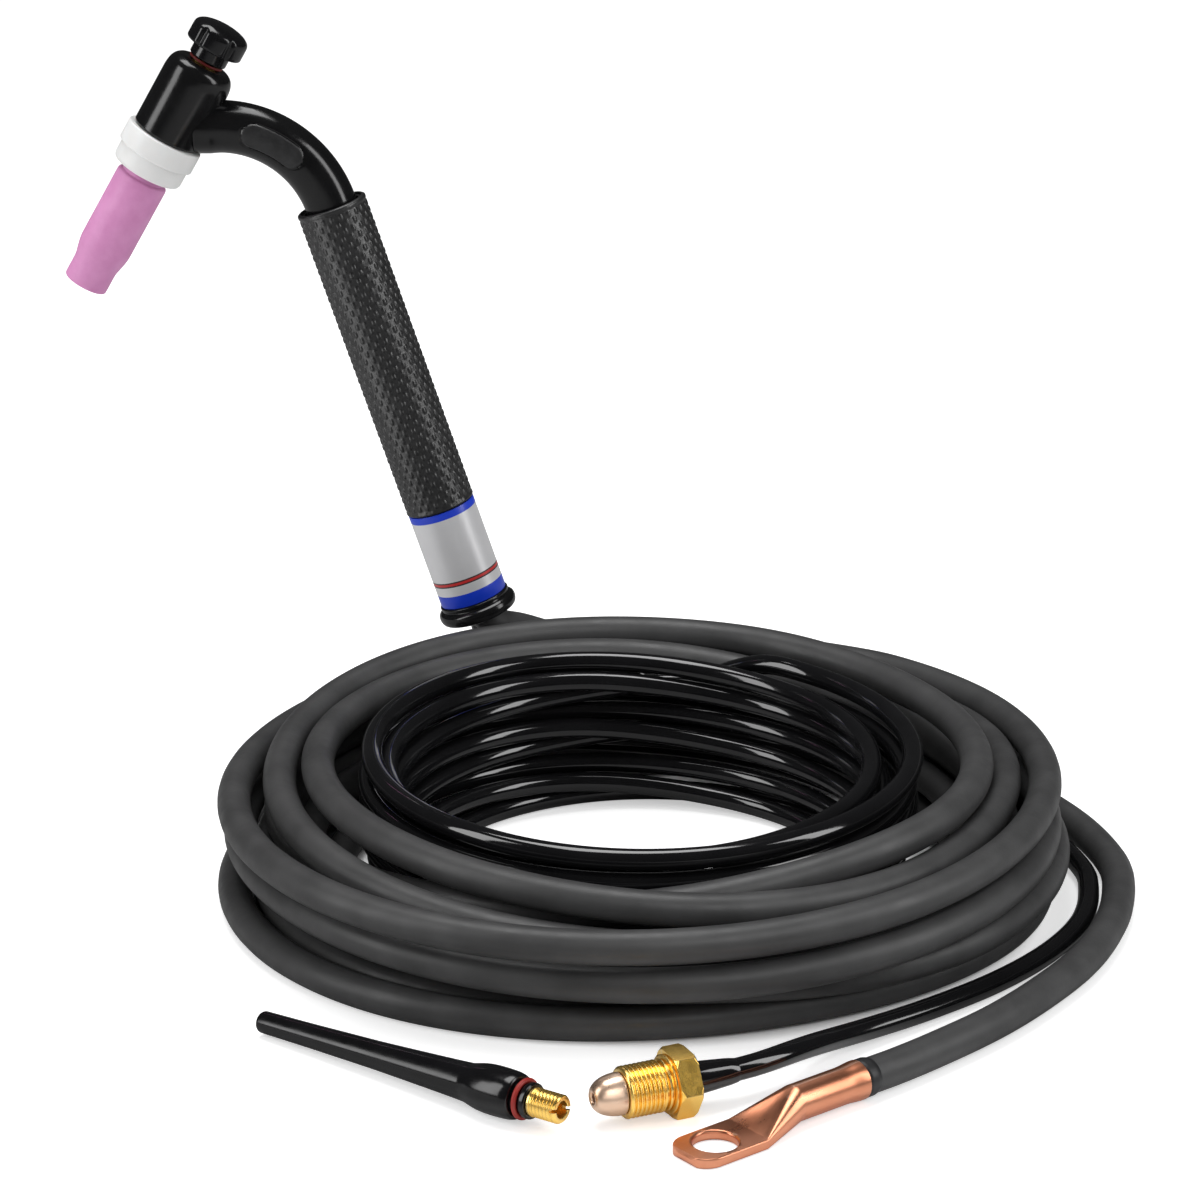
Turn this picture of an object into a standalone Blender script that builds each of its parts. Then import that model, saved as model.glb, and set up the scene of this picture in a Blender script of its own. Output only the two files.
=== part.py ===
"""Air-cooled TIG torch with its power cable, gas hose, fittings and spare long back cap.

Metres, +Z up; profiles and tables marked mm are scaled by MM.  Origin: on the floor,
in the middle of the whole set seen from above.  The coil lies on the floor; the torch
stands over its +Y side in a plane of constant Y and leans towards -X.  Everything is
laid out about a drawing origin near the middle of the coil, and PLACE moves that
drawing origin into the world.
"""
import math
import bpy
import bmesh
import numpy as np
from mathutils import Vector, Matrix

for old in list(bpy.data.objects):
    bpy.data.objects.remove(old, do_unlink=True)

# ---------------------------------------------------------------- driving dimensions
MM = 0.001
PLACE = Vector((0.017044, 0.016791, 0.0))

CABLE_R = 0.0055                                  # over the rubber jacket
HOSE_R = 0.0035                                   # over the vinyl

TORCH_Y = 0.138                                   # plane of the torch
GROMMET_END = Vector((-0.0561, TORCH_Y, 0.0568))  # lower end of the handle
HANDLE_DIR = Vector((-0.3187, 0.0, 0.9479)).normalized()
HANDLE_LEN = 0.1594
HEAD_SEAT = Vector((-0.1638, TORCH_Y, 0.2323))    # seat of the insulator
HEAD_DIR = Vector((0.4986, 0.0, 0.8669)).normalized()
CABLE_OFFSET = -0.0037                            # Y of the cable from the handle axis
HOSE_OFFSET = 0.0057                              # Y of the hose from the handle axis


# ---------------------------------------------------------------- helpers
def material(name, colour, roughness, metallic=0.0):
    mat = bpy.data.materials.new(name)
    mat.use_nodes = True
    bsdf = mat.node_tree.nodes["Principled BSDF"]
    bsdf.inputs["Base Color"].default_value = (*colour, 1.0)
    bsdf.inputs["Roughness"].default_value = roughness
    bsdf.inputs["Metallic"].default_value = metallic
    return mat


def link(name, mesh, mat, matrix=None):
    ob = bpy.data.objects.new(name, mesh)
    bpy.context.scene.collection.objects.link(ob)
    if mat is not None:
        mesh.materials.append(mat)
    if matrix is not None:
        ob.matrix_world = matrix
    return ob


def finish_mesh(bm, name, sharp=35.0):
    """Merge, orient and shade a bmesh; edges above sharp degrees stay crisp."""
    bmesh.ops.remove_doubles(bm, verts=bm.verts, dist=1e-6)
    bmesh.ops.recalc_face_normals(bm, faces=bm.faces)
    mesh = bpy.data.meshes.new(name)
    bm.to_mesh(mesh)
    bm.free()
    mesh.shade_smooth()
    mesh.set_sharp_from_angle(angle=math.radians(sharp))
    return mesh


def turned(name, profile, mat, matrix, steps=24, loop=False):
    """Solid of revolution about local Z.  profile is (radius, height) in mm."""
    bm = bmesh.new()
    verts = [bm.verts.new((radius * MM, 0, z * MM)) for radius, z in profile]
    pairs = list(zip(verts, verts[1:]))
    if loop:
        pairs.append((verts[-1], verts[0]))
    edges = [bm.edges.new(pair) for pair in pairs]
    bmesh.ops.spin(bm, geom=verts + edges, axis=(0, 0, 1), cent=(0, 0, 0),
                   angle=2 * math.pi, steps=steps, use_duplicate=False)
    return link(name, finish_mesh(bm, name), mat, matrix)


def cylinder(radius, low, high):
    """Profile of a plain cylinder, mm."""
    return [(0, low), (radius, low), (radius, high), (0, high)]


def ball(radius, step):
    """Profile of a ball in mm, with a point every step degrees of latitude."""
    arc = [math.radians(a) for a in range(step - 90, 90, step)]
    return ([(0, -radius)] + [(radius * math.cos(a), radius * math.sin(a)) for a in arc]
            + [(0, radius)])


def seal_ring(name, radius, minor, height, matrix):
    """Red O-ring about local Z, sizes in mm."""
    sides = 6
    angles = [2 * math.pi * i / sides for i in range(sides)]
    profile = [(radius + minor * math.cos(a), height + minor * math.sin(a)) for a in angles]
    return turned(name, profile, ORING, matrix, 18, loop=True)


def frame_along(origin, direction, side=Vector((0, 1, 0))):
    """Matrix whose local Z runs along direction and whose local Y is nearest side."""
    z = direction.normalized()
    x = side.cross(z).normalized()
    y = z.cross(x)
    frame = Matrix((x, y, z)).transposed().to_4x4()
    frame.translation = origin
    return frame


def bridge_rings(bm, rings):
    """Skin a row of vertex rings and close both ends with flat caps."""
    sides = len(rings[0])
    for near, far in zip(rings, rings[1:]):
        for k in range(sides):
            after = (k + 1) % sides
            bm.faces.new((near[k], near[after], far[after], far[k]))
    bm.faces.new(rings[0][::-1])
    bm.faces.new(rings[-1])


def swept(name, points, radius, mat, sides=12):
    """Tube along points, one ring per point, with flat end caps."""
    bm = bmesh.new()
    rings = []
    normal = Vector((0, 1, 0))
    for i, point in enumerate(points):
        before = points[max(i - 1, 0)]
        after = points[min(i + 1, len(points) - 1)]
        tangent = (after - before).normalized()
        # carrying the last normal forward keeps the rings from twisting
        normal = (normal - tangent * normal.dot(tangent)).normalized()
        binormal = tangent.cross(normal)
        angles = [2 * math.pi * k / sides for k in range(sides)]
        rings.append([bm.verts.new(point + (normal * math.cos(a) + binormal * math.sin(a)) * radius)
                      for a in angles])
    bridge_rings(bm, rings)
    return link(name, finish_mesh(bm, name), mat)


def cut(ob, cutter, operation="DIFFERENCE"):
    """Boolean the hidden helper cutter into ob."""
    cutter.hide_render = True
    cutter.display_type = "WIRE"
    mod = ob.modifiers.new("bool_" + cutter.name, "BOOLEAN")
    mod.operation = operation
    mod.object = cutter
    mod.solver = "EXACT"


# ---------------------------------------------------------------- materials
RUBBER = material("cable_rubber", colour=(0.045, 0.046, 0.048), roughness=0.62)
VINYL = material("hose_vinyl", colour=(0.008, 0.008, 0.009), roughness=0.12)
GRIP = material("grip_rubber", colour=(0.035, 0.036, 0.038), roughness=0.7)
COVER = material("moulded_cover", colour=(0.010, 0.010, 0.011), roughness=0.28)
WHITE = material("insulator_white", colour=(0.82, 0.82, 0.80), roughness=0.5)
ALUMINA = material("alumina_pink", colour=(0.62, 0.24, 0.49), roughness=0.55)
LABEL = material("label_silver", colour=(0.62, 0.63, 0.65), roughness=0.35, metallic=0.3)
BRASS = material("brass", colour=(0.80, 0.58, 0.22), roughness=0.25, metallic=1.0)
BRONZE = material("bronze", colour=(0.72, 0.55, 0.42), roughness=0.25, metallic=1.0)
COPPER = material("copper", colour=(0.80, 0.42, 0.28), roughness=0.32, metallic=1.0)
ORING = material("seal_red", colour=(0.45, 0.04, 0.03), roughness=0.5)
TUNGSTEN = material("tungsten", colour=(0.35, 0.35, 0.36), roughness=0.35, metallic=1.0)
TUBE = material("handle_plastic", colour=(0.02, 0.02, 0.02), roughness=0.4)

# ---------------------------------------------------------------- neck centre line
NECK_ARC_R = 0.0404
NECK_R = 0.00915
NECK_BORE_R = 0.0036
NECK_TUBE_R = 0.0031
FLEX_AT = 0.52            # share of the neck arc where its two halves meet
FLEX_GAP = 0.0005         # clearance of the dish around the ball

ARC_NORMAL = Vector((HANDLE_DIR.z, 0, -HANDLE_DIR.x))    # square to the handle, towards +X
ARC_CENTRE = GROMMET_END + HANDLE_DIR * HANDLE_LEN - ARC_NORMAL * NECK_ARC_R
ARC_START = math.radians(90)
ARC_END = math.atan2(ARC_NORMAL.z, ARC_NORMAL.x)


def neck_angle(share):
    """Angle on the neck arc; share = 0 at the head end, 1 at the grip."""
    return ARC_START + (ARC_END - ARC_START) * share


def neck_point(share):
    angle = neck_angle(share)
    return ARC_CENTRE + Vector((math.cos(angle), 0, math.sin(angle))) * NECK_ARC_R


def front_neck(*shares):
    """Points on the head half of the arc; share = 1 at the flex joint."""
    return [neck_point(FLEX_AT * share) for share in shares]


def rear_neck(shares, heights):
    """Points on the grip half of the arc (share = 0 at the flex joint), then on the
    handle axis at heights above its lower end."""
    return ([neck_point(FLEX_AT + (1 - FLEX_AT) * share) for share in shares]
            + [GROMMET_END + HANDLE_DIR * height for height in heights])


FLEX_ANGLE = neck_angle(FLEX_AT)
# ball joint frame, local +Z towards the grip
FLEX = frame_along(neck_point(FLEX_AT), Vector((math.sin(FLEX_ANGLE), 0, -math.cos(FLEX_ANGLE))))
NECK_TOP = neck_point(0.0)
# point on the head axis level with the head end of the arc
NECK_ROOT = Vector((HEAD_SEAT.x + HEAD_DIR.x * (NECK_TOP.z - HEAD_SEAT.z) / HEAD_DIR.z,
                    TORCH_Y, NECK_TOP.z))

# ---------------------------------------------------------------- head
HEAD = frame_along(HEAD_SEAT, HEAD_DIR)      # local +Z towards the short back cap
HEAD_R = 0.01225
BALL_SCALE = 0.9995       # keeps the ball surface just inside the neck surface
TUBE_ROOT_X = 0.0083 / HEAD_DIR.z + 0.0028   # start of the tube, from the neck root


def head_cover():
    """Head barrel and head half of the neck in one moulding."""
    cover = turned("head_cover", [
        (0, 0), (HEAD_R / MM, 0), (HEAD_R / MM, 23.8), (11.9, 25.6), (11.0, 27.3),
        (9.6, 28.5), (8.0, 29.0), (0, 29.0)], COVER, HEAD, 28)
    neck_points = ([NECK_ROOT, NECK_TOP * 0.5 + NECK_ROOT * 0.5]
                   + front_neck(*(k / 5 for k in range(6))))
    cut(cover, swept("cut_front_neck", neck_points, NECK_R, None, 20), "UNION")
    joint = turned("cut_ball", ball(NECK_R / MM, 15), None, FLEX, 20)
    joint.data.transform(Matrix.Scale(BALL_SCALE, 4))
    cut(cover, joint, "UNION")
    # trims whatever of the neck hangs below the seat
    cut(cover, turned("cut_under_head", cylinder(14.6, -20, 0), None, HEAD, 28))
    cut(cover, turned("cut_core_bore", [
        (0, -1), (8.4, -1), (8.4, 24.2), (5.4, 24.2), (5.4, 31), (0, 31)], None, HEAD, 24))
    bore_points = [NECK_ROOT + Vector((-0.004, 0, 0)), NECK_TOP] + front_neck(1 / 3, 2 / 3)
    cut(cover, swept("cut_front_bore", bore_points, NECK_BORE_R, None))


head_cover()
turned("torch_body", [
    (5.3, 0.4), (8.0, 0.4), (8.0, 23.8), (5.0, 23.8), (5.0, 9.0), (5.3, 9.0)],
    BRASS, HEAD, loop=True)
swept("neck_tube_front",
      [NECK_ROOT + Vector((TUBE_ROOT_X, 0, 0)), NECK_TOP + Vector((0.0002, 0, 0))]
      + front_neck(1 / 3, 0.6), NECK_TUBE_R, COPPER)

# ---------------------------------------------------------------- parts on the head axis
turned("collet_body", [
    (2.9, -34), (4.9, -34), (4.9, -23.0), (6.7, -22.0), (6.7, -10.0), (4.9, -9.0),
    (4.9, 6.0), (2.9, 6.0)], BRASS, HEAD, 20, loop=True)
turned("collet", [(1.45, -31), (2.55, -31), (2.55, 8.0), (2.3, 13.0), (1.45, 13.0)],
       COPPER, HEAD, 14, loop=True)
turned("tungsten_electrode", [(0, -58.0), (1.2, -52.0), (1.2, 28.0), (0, 28.0)],
       TUNGSTEN, HEAD, 10)
turned("insulator", [
    (11.6, -14.8), (12.5, -14.3), (12.75, -13.4), (12.75, -8.3), (13.9, -7.9), (13.9, -0.8),
    (13.5, -0.3), (5.3, -0.3), (5.3, -8.4), (7.2, -9.4), (7.2, -14.8)],
    WHITE, HEAD, 22, loop=True)

NOZZLE_TOP = -15.1        # mm along the head axis
NOZZLE_R = 0.00935
NOZZLE_TIP_R = 0.0079
# (radius, distance below the nozzle top) mm
NOZZLE_OUTLINE = (
    (7.1, 0), (7.75, 0), (7.75, 1.8), (9.2, 2.3), (NOZZLE_R / MM, 3.0),
    (NOZZLE_R / MM, 31.0), (8.9, 33.2), (8.1, 36.0), (NOZZLE_TIP_R / MM, 37.2),
    (NOZZLE_TIP_R / MM, 45.5), (7.6, 45.9), (5.8, 45.9), (5.55, 45.3), (5.55, 34.0),
    (6.4, 24.0), (7.1, 9.0))
turned("nozzle", [(radius, NOZZLE_TOP - drop) for radius, drop in NOZZLE_OUTLINE],
       ALUMINA, HEAD, 20, loop=True)

# ---------------------------------------------------------------- short back cap
CAP_BASE = 30.6           # mm along the head axis
FLUTES = 6
FLUTE_CENTRE = (0.0117, 0, 0.0395)


def short_back_cap():
    """Cap with flutes around its rim; the outline returns to its first point."""
    cap = turned("short_back_cap", [
        (3.7, CAP_BASE), (6.8, CAP_BASE), (6.8, 34.9), (9.7, 34.9), (10.4, 35.7), (10.4, 40.6),
        (9.7, 41.8), (7.4, 43.0), (4.4, 43.8), (0, 44.1), (0, 36.0), (3.7, 36.0),
        (3.7, CAP_BASE)], COVER, HEAD, 32)
    for k in range(FLUTES):
        turn = Matrix.Rotation(2 * math.pi * k / FLUTES, 4, "Z")
        place = HEAD @ turn @ Matrix.Translation(FLUTE_CENTRE)
        cut(cap, turned("cut_flute_%d" % k, cylinder(1.9, -5.5, 5.5), None, place, 10))


short_back_cap()
turned("cap_insert", [
    (1.55, 14.0), (4.3, 14.0), (4.6, 14.5), (4.6, 29.6), (3.4, 30.2), (3.4, 35.6), (1.55, 35.6)],
    BRASS, HEAD, 18, loop=True)
seal_ring("cap_oring", 5.7, 0.60, 29.8, HEAD)


# ---------------------------------------------------------------- grip half of the neck
def neck_cover():
    """Grip half of the neck, dished to take the ball and bored for the tube."""
    cover = swept("neck_cover", rear_neck([k / 5 for k in range(6)], [0.138]), NECK_R, COVER, 20)
    cut(cover, turned("cut_dish", ball((NECK_R + FLEX_GAP) / MM, 10), None, FLEX, 28))
    bore_points = rear_neck((0.45, 0.62, 0.8, 1.0), (0.137, 0.130))
    cut(cover, swept("cut_rear_bore", bore_points, NECK_BORE_R, None))


neck_cover()
swept("neck_tube_rear", rear_neck((0.50, 0.62, 0.8, 1.0), (0.137, 0.1224)), NECK_TUBE_R, COPPER)

# ---------------------------------------------------------------- handle
HANDLE = frame_along(GROMMET_END, HANDLE_DIR)     # local +Z up towards the neck

turned("handle_tube", [(10.0, 12.0), (11.0, 12.0), (11.0, 158.6), (10.0, 158.6)],
       TUBE, HANDLE, loop=True)
turned("grip_sleeve", [
    (11.3, 43.6), (12.1, 43.6), (12.5, 44.1), (12.5, 158.9), (12.1, 159.4), (11.3, 159.4)],
    GRIP, HANDLE, loop=True)
turned("label_band", [(11.3, 7.4), (12.25, 7.4), (12.25, 43.3), (11.3, 43.3)],
       LABEL, HANDLE, loop=True)
turned("handle_grommet", [
    (11.6, 0.2), (12.6, 0.0), (13.8, 0.7), (14.4, 2.0), (14.4, 3.3), (13.9, 4.5), (12.9, 5.1),
    (12.3, 5.3), (12.3, 5.7), (12.8, 5.9), (12.8, 7.1), (11.2, 7.1), (11.2, 11.6),
    (10.2, 11.6), (10.2, 6.0), (11.0, 2.6)], COVER, HANDLE, 20, loop=True)

# connections inside the handle
turned("power_connector", [
    (0, 100.0), (7.0, 100.0), (7.6, 100.6), (7.6, 112.0), (5.0, 114.0), (5.0, 122.0),
    (0, 122.0)], BRASS, HANDLE, 16)
CABLE_AXIS = frame_along(GROMMET_END + Vector((0, CABLE_OFFSET, 0)), HANDLE_DIR)
turned("crimp_ferrule", [
    (0, 60.4), (5.4, 60.4), (5.7, 60.9), (5.7, 74.5), (3.0, 77.0), (3.0, 99.6), (0, 99.6)],
    COPPER, CABLE_AXIS, 16)
HOSE_AXIS = frame_along(GROMMET_END + Vector((0, HOSE_OFFSET, 0)), HANDLE_DIR)
turned("gas_barb", [
    (0, 62.4), (2.4, 62.4), (2.9, 66.0), (2.4, 70.0), (2.0, 72.0), (2.0, 99.6), (0, 99.6)],
    BRASS, HOSE_AXIS, 14)

# ---------------------------------------------------------------- leads: layout
COIL_Y = 0.016            # centre of the coil is at (0, COIL_Y)
STATIONS = 48             # cross-sections per turn used to lay the coil
KEEP = 2                  # every second section carries a ring of vertices
RUN_SPACING = 0.012       # spacing of the rings outside the coil
STRAND_GAP = 0.0006
FLOOR_GAP = 0.0001
SETTLE_ROUNDS = 420
STRAIGHTEN = 0.03         # pull of each section towards its neighbours, per round
PUSH = 0.5                # share of each overlap cleared per round

# one row for each turn of the cable, tail end first: (azimuth deg, radius mm, height mm)
CABLE_LAY = (
    ((0, 161, 5.5), (22, 161.5, 5.5), (45, 150, 5.5), (90, 136, 5.5), (180, 135.3, 5.5),
     (225, 135, 5.5), (250, 126.3, 5.5), (270, 119.5, 5.5), (290, 113, 5.5), (309, 115.5, 5.5),
     (322, 123.5, 5.5), (337, 135.5, 5.5), (349, 141, 5.5)),
    ((0, 143, 5.5), (13, 139, 5.8), (30, 128, 10.6), (46, 125, 14.1), (68, 124.5, 13.8),
     (82, 124, 9), (97, 124.5, 5.5), (180, 123.2, 5.5), (225, 123, 5.5), (250, 115, 5.5),
     (270, 108.5, 5.5), (290, 103.5, 5.5), (320, 104, 5.5)),
    ((0, 112.5, 5.5), (25, 112.5, 9), (50, 112.5, 13.6), (90, 112.5, 13.6), (106, 112.5, 7.5),
     (120, 109, 5.5), (150, 103.5, 5.5), (180, 101, 5.5), (205, 99.5, 6), (225, 99.5, 8),
     (250, 99, 12), (270, 98.5, 16.5), (315, 102, 17)),
    ((0, 113, 17.2), (50, 112, 25), (88, 112, 25), (106, 112, 19), (120, 112, 17.5),
     (180, 111, 17.5), (225, 109.5, 19), (250, 108, 22), (270, 107, 24.5), (290, 110.5, 23),
     (315, 113, 18)),
    ((0, 127.5, 16.7), (48, 125, 25), (66, 125, 25), (80, 125, 20.8), (97, 125, 17.2),
     (135, 124.5, 17), (180, 123.5, 17), (225, 121, 14), (270, 115, 14.5), (290, 121.5, 16),
     (315, 131, 13.5)),
    ((0, 141, 17), (45, 141, 17), (90, 139, 17), (135, 135, 21.5), (180, 133, 26),
     (225, 129.2, 22.5), (270, 127.2, 20), (315, 133.8, 25.5)),
    ((0, 136, 29), (45, 136, 29), (90, 136.5, 28.5), (135, 124, 28.5), (180, 121.5, 29),
     (200, 118.5, 28.3), (225, 108.5, 30.5), (250, 102, 33), (270, 101, 35), (293, 104, 38),
     (315, 114.5, 46.5), (335, 117, 49)),
    ((0, 112, 50), (16, 109, 48.8), (45, 109.5, 48), (68, 114.5, 49.4), (90, 118.8, 51.2),
     (115, 120, 53.2), (147, 118.3, 48.8), (180, 118, 43), (205, 119.6, 38.3), (225, 119.5, 35),
     (239, 116.5, 31.5), (270, 119, 28.5), (303, 121.5, 23.5), (335, 123.5, 27.2)),
    ((0, 124, 28.2), (20, 119, 29.8), (45, 112, 37), (72, 104.5, 47.7), (95, 106.5, 48.7),
     (121, 109.5, 47.4), (147, 109.5, 47), (171, 107.5, 46.8), (207, 105, 46), (225, 103.5, 45),
     (245, 107, 43), (270, 116, 40), (290, 115, 37.5), (315, 115, 35), (335, 118.5, 37.5)),
    ((0, 121, 39.8), (39, 131.5, 39), (60, 126.3, 35.6), (82, 121.8, 30.8), (105, 121.8, 30.8),
     (125, 126.5, 34.5), (148, 131, 36), (180, 133.3, 38.5), (205, 137, 37.5), (225, 138, 36),
     (250, 134.8, 35), (270, 132, 35), (302, 132, 37), (342, 133, 41)),
    ((0, 134.5, 42), (28, 140.3, 42.5), (40, 140.8, 42), (58, 137.2, 40.5)),
)

# hose crossing in under the cable: azimuth deg and radius m, all at one height
HOSE_ENTRY_ANGLES = (0, 22, 45, 70, 100)
HOSE_ENTRY_RADII = (.1525, .149, .137, .118, .098)
HOSE_ENTRY_HEIGHT = .0036
HOSE_TURNS = 12
HOSE_COLUMNS = (0.0810, 0.0893)          # radii of the inner and outer columns
HOSE_ROW = 0.0087                        # height of one row
HOSE_OFFSETS = (135, 215, 270, 350, 420)  # azimuths laid in each turn, deg
HOSE_LEAN = -0.0062                      # radius change of the lowest row, gone by row 2
HOSE_BULGE = (0.0008, -0.0012)           # radius change per sine, on the +Y and -Y sides
HOSE_WOBBLE = 0.0010                     # uneven winding
HOSE_RISE = (0.045, 0.115)               # row height change per sine, +Y and -Y sides
HOSE_TOP_SPREAD = 0.003                  # columns part by this in the top row
HOSE_OUTER_LIFT = 0.0040                 # outer column above the inner, off the floor

# tails run from the coil to the fittings, leads from the coil to the handle: (x, y, z) mm
CABLE_TAIL = (
    (158.5, -8.1, 5.5), (153.2, -29.1, 5.5), (141.6, -57.3, 5.5), (124.3, -84.3, 5.5),
    (106.6, -106.5, 5.5), (86.6, -126.4, 5.7), (73.6, -138.4, 5.9), (67.4, -143.4, 6.05))
HOSE_TAIL = (
    (151.4, 13.7, 3.6), (148.7, -7.8, 3.6), (141.9, -28.7, 3.6), (127.9, -51.9, 3.6),
    (110, -72.4, 3.6), (89.6, -91.1, 4.0), (76.3, -102.4, 4.6), (63.4, -113.3, 5.6),
    (53.2, -124.6, 7.9), (44.4, -133.8, 9.2), (37.4, -140.4, 9.52), (32.0, -144.4, 9.52),
    (26.9, -147.3, 9.52), (21.1, -149.9, 9.52))
CABLE_LEAD = (
    (49, 145, 40.4), (20, 150.6, 39.9), (-8, 152.4, 39.9), (-22, 153.3, 40.4),
    (-34, 152.6, 43.9), (-43.8, 148, 48.8), (-49.2, 138.6, 51.8))
HOSE_LEAD = (
    (32.4, 105.1, 45.8), (23.3, 109.7, 41.0), (14.2, 117.0, 36.3), (5.7, 124.9, 36.6),
    (-5.1, 132.8, 42.0), (-17.6, 141, 45.6), (-30, 141, 45.6), (-38, 140, 44.8),
    (-46, 141.3, 41.8), (-51, 144.2, 41.6), (-55.6, 146.8, 45.4), (-57.8, 147.2, 51.4))
# inside the handle: (Y from the handle axis, height above its lower end) m
CABLE_INSIDE = ((CABLE_OFFSET, 0.003), (CABLE_OFFSET, 0.014), (CABLE_OFFSET, 0.030),
                (CABLE_OFFSET, 0.060))
HOSE_INSIDE = ((0.0068, 0.001), (0.0058, 0.012), (HOSE_OFFSET, 0.030), (HOSE_OFFSET, 0.062))


# ---------------------------------------------------------------- leads: laying the coil
def shape_cubic(knots, values, x):
    """Cubic through (knots, values) that does not overshoot, read at x."""
    knots = np.asarray(knots, float)
    values = np.asarray(values, float)
    width = np.diff(knots)
    secant = np.diff(values) / width
    slope = np.zeros(len(knots))
    slope[0], slope[-1] = secant[0], secant[-1]
    for i in range(1, len(knots) - 1):
        if secant[i - 1] * secant[i] > 0:
            before = 2 * width[i] + width[i - 1]
            after = width[i] + 2 * width[i - 1]
            slope[i] = (before + after) / (before / secant[i - 1] + after / secant[i])
    i = np.clip(np.searchsorted(knots, x, side="right") - 1, 0, len(width) - 1)
    u = (x - knots[i]) / width[i]
    return ((1 + 2 * u) * (1 - u) ** 2 * values[i] + u * (1 - u) ** 2 * width[i] * slope[i]
            + u * u * (3 - 2 * u) * values[i + 1] + u * u * (u - 1) * width[i] * slope[i + 1])


def at_stations(angles, radii, heights, last_angle):
    """(radius, height) rows at every station up to last_angle degrees."""
    step = 360 / STATIONS
    stations = np.arange(int(last_angle // step) + 1) * step
    return np.column_stack([shape_cubic(angles, radii, stations),
                            shape_cubic(angles, heights, stations)])


def cable_turns():
    angles, radii, heights = [], [], []
    for k, row in enumerate(CABLE_LAY):
        for angle, radius, height in row:
            angles.append(angle + 360 * k)
            radii.append(radius * MM)
            heights.append(height * MM)
    return at_stations(angles, radii, heights, angles[-1])


def hose_turns():
    """Two columns filled row by row from the floor, after the entry under the cable."""
    angles = list(HOSE_ENTRY_ANGLES)
    radii = list(HOSE_ENTRY_RADII)
    heights = [HOSE_ENTRY_HEIGHT] * len(angles)
    for k in range(HOSE_TURNS):
        row = k // 2
        outer = (1 - k % 2) if row % 2 == 0 else k % 2
        lean = HOSE_LEAN * max(0.0, 1 - row / 2.0)
        spread = HOSE_TOP_SPREAD if row == HOSE_TURNS // 2 - 1 else 0.0
        lift = (HOSE_OUTER_LIFT if outer else 0.0) * (row > 0)
        for offset in HOSE_OFFSETS:
            angle = offset + 360 * k
            sine = math.sin(math.radians(angle))
            cosine = math.cos(math.radians(angle))
            side = 0 if sine > 0 else 1
            angles.append(angle)
            radii.append(HOSE_COLUMNS[outer] + lean + HOSE_BULGE[side] * sine
                         + HOSE_WOBBLE * math.sin(2.1 * row + 0.9 * offset)
                         + spread * cosine * (1 if outer else -1))
            heights.append(HOSE_R + FLOOR_GAP + row * HOSE_ROW * (1 + HOSE_RISE[side] * sine)
                           + lift)
    return at_stations(angles, radii, heights, 360 * HOSE_TURNS + 60)


def settle(cable, hose):
    """Push strands apart in each cross-section, round by round, and keep them off the floor."""
    for _ in range(SETTLE_ROUNDS):
        for strand in (cable, hose):
            middle = (strand[:-2] + strand[2:]) * 0.5
            strand[1:-1] += (middle - strand[1:-1]) * STRAIGHTEN
        for station in range(STATIONS):
            in_cable = np.arange(station, len(cable), STATIONS)
            in_hose = np.arange(station, len(hose), STATIONS)
            centres = np.vstack([cable[in_cable], hose[in_hose]])
            radii = np.r_[np.full(len(in_cable), CABLE_R), np.full(len(in_hose), HOSE_R)]
            apart = centres[:, None] - centres[None]
            dist = np.sqrt((apart ** 2).sum(-1)) + 1e-9    # never zero, as it divides below
            overlap = np.clip(radii[:, None] + radii[None] + STRAND_GAP - dist, 0, None)
            np.fill_diagonal(overlap, 0)
            # the thinner strand gives way more
            ease = 1 / radii ** 2
            share = ease[:, None] / (ease[:, None] + ease[None])
            centres += (apart / dist[..., None] * (overlap * share)[..., None]).sum(1) * PUSH
            centres[:, 1] = np.maximum(centres[:, 1], radii + FLOOR_GAP)
            cable[in_cable] = centres[:len(in_cable)]
            hose[in_hose] = centres[len(in_cable):]
    return cable, hose


def coil_points(strand):
    """Turn (radius, height) rows into points about the coil centre."""
    points = []
    for i, (radius, z) in enumerate(strand):
        angle = 2 * math.pi * i / STATIONS
        points.append(Vector((radius * math.cos(angle), COIL_Y + radius * math.sin(angle), z)))
    return points


def smooth_run(points):
    """Catmull-Rom curve through points, sampled about every RUN_SPACING."""
    ends = [points[0] * 2 - points[1]] + points + [points[-1] * 2 - points[-2]]
    run = []
    for before, start, end, after in zip(ends, ends[1:], ends[2:], ends[3:]):
        count = max(1, round((end - start).length / RUN_SPACING))
        for k in range(count):
            u = k / count
            run.append(0.5 * ((2 * start) + (end - before) * u
                              + (2 * before - 5 * start + 4 * end - after) * u * u
                              + (3 * start - before - 3 * end + after) * u ** 3))
    run.append(points[-1])
    return run


def centre_line(tail, strand, lead, inside):
    """Whole centre line of one strand, from its fitting to inside the handle."""
    tail = [Vector(point) * MM for point in reversed(tail)]
    coil = coil_points(strand)[::KEEP]
    lead = [Vector(point) * MM for point in lead]
    lead += [GROMMET_END + Vector((0, y, 0)) + HANDLE_DIR * height for y, height in inside]
    return smooth_run(tail + [coil[0]])[:-1] + coil + smooth_run([coil[-1]] + lead)[1:]


cable_strand, hose_strand = settle(cable_turns(), hose_turns())
swept("power_cable", centre_line(CABLE_TAIL, cable_strand, CABLE_LEAD, CABLE_INSIDE),
      CABLE_R, RUBBER, 6)
swept("gas_hose", centre_line(HOSE_TAIL, hose_strand, HOSE_LEAD, HOSE_INSIDE),
      HOSE_R, VINYL, 5)

# ---------------------------------------------------------------- gas fitting
THREAD_R = 0.0159 / 2     # 5/8 in gas thread
THREAD_CUT_R = THREAD_R / MM - 0.1       # radius modelled, mm
HEX_AF = 0.01905          # 3/4 in across flats
HEX_LEN = 0.045
FIT_TIP = Vector((-0.0149, -0.1664, HEX_AF / 2))
FIT_HEADING = math.radians(24.6)
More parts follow.
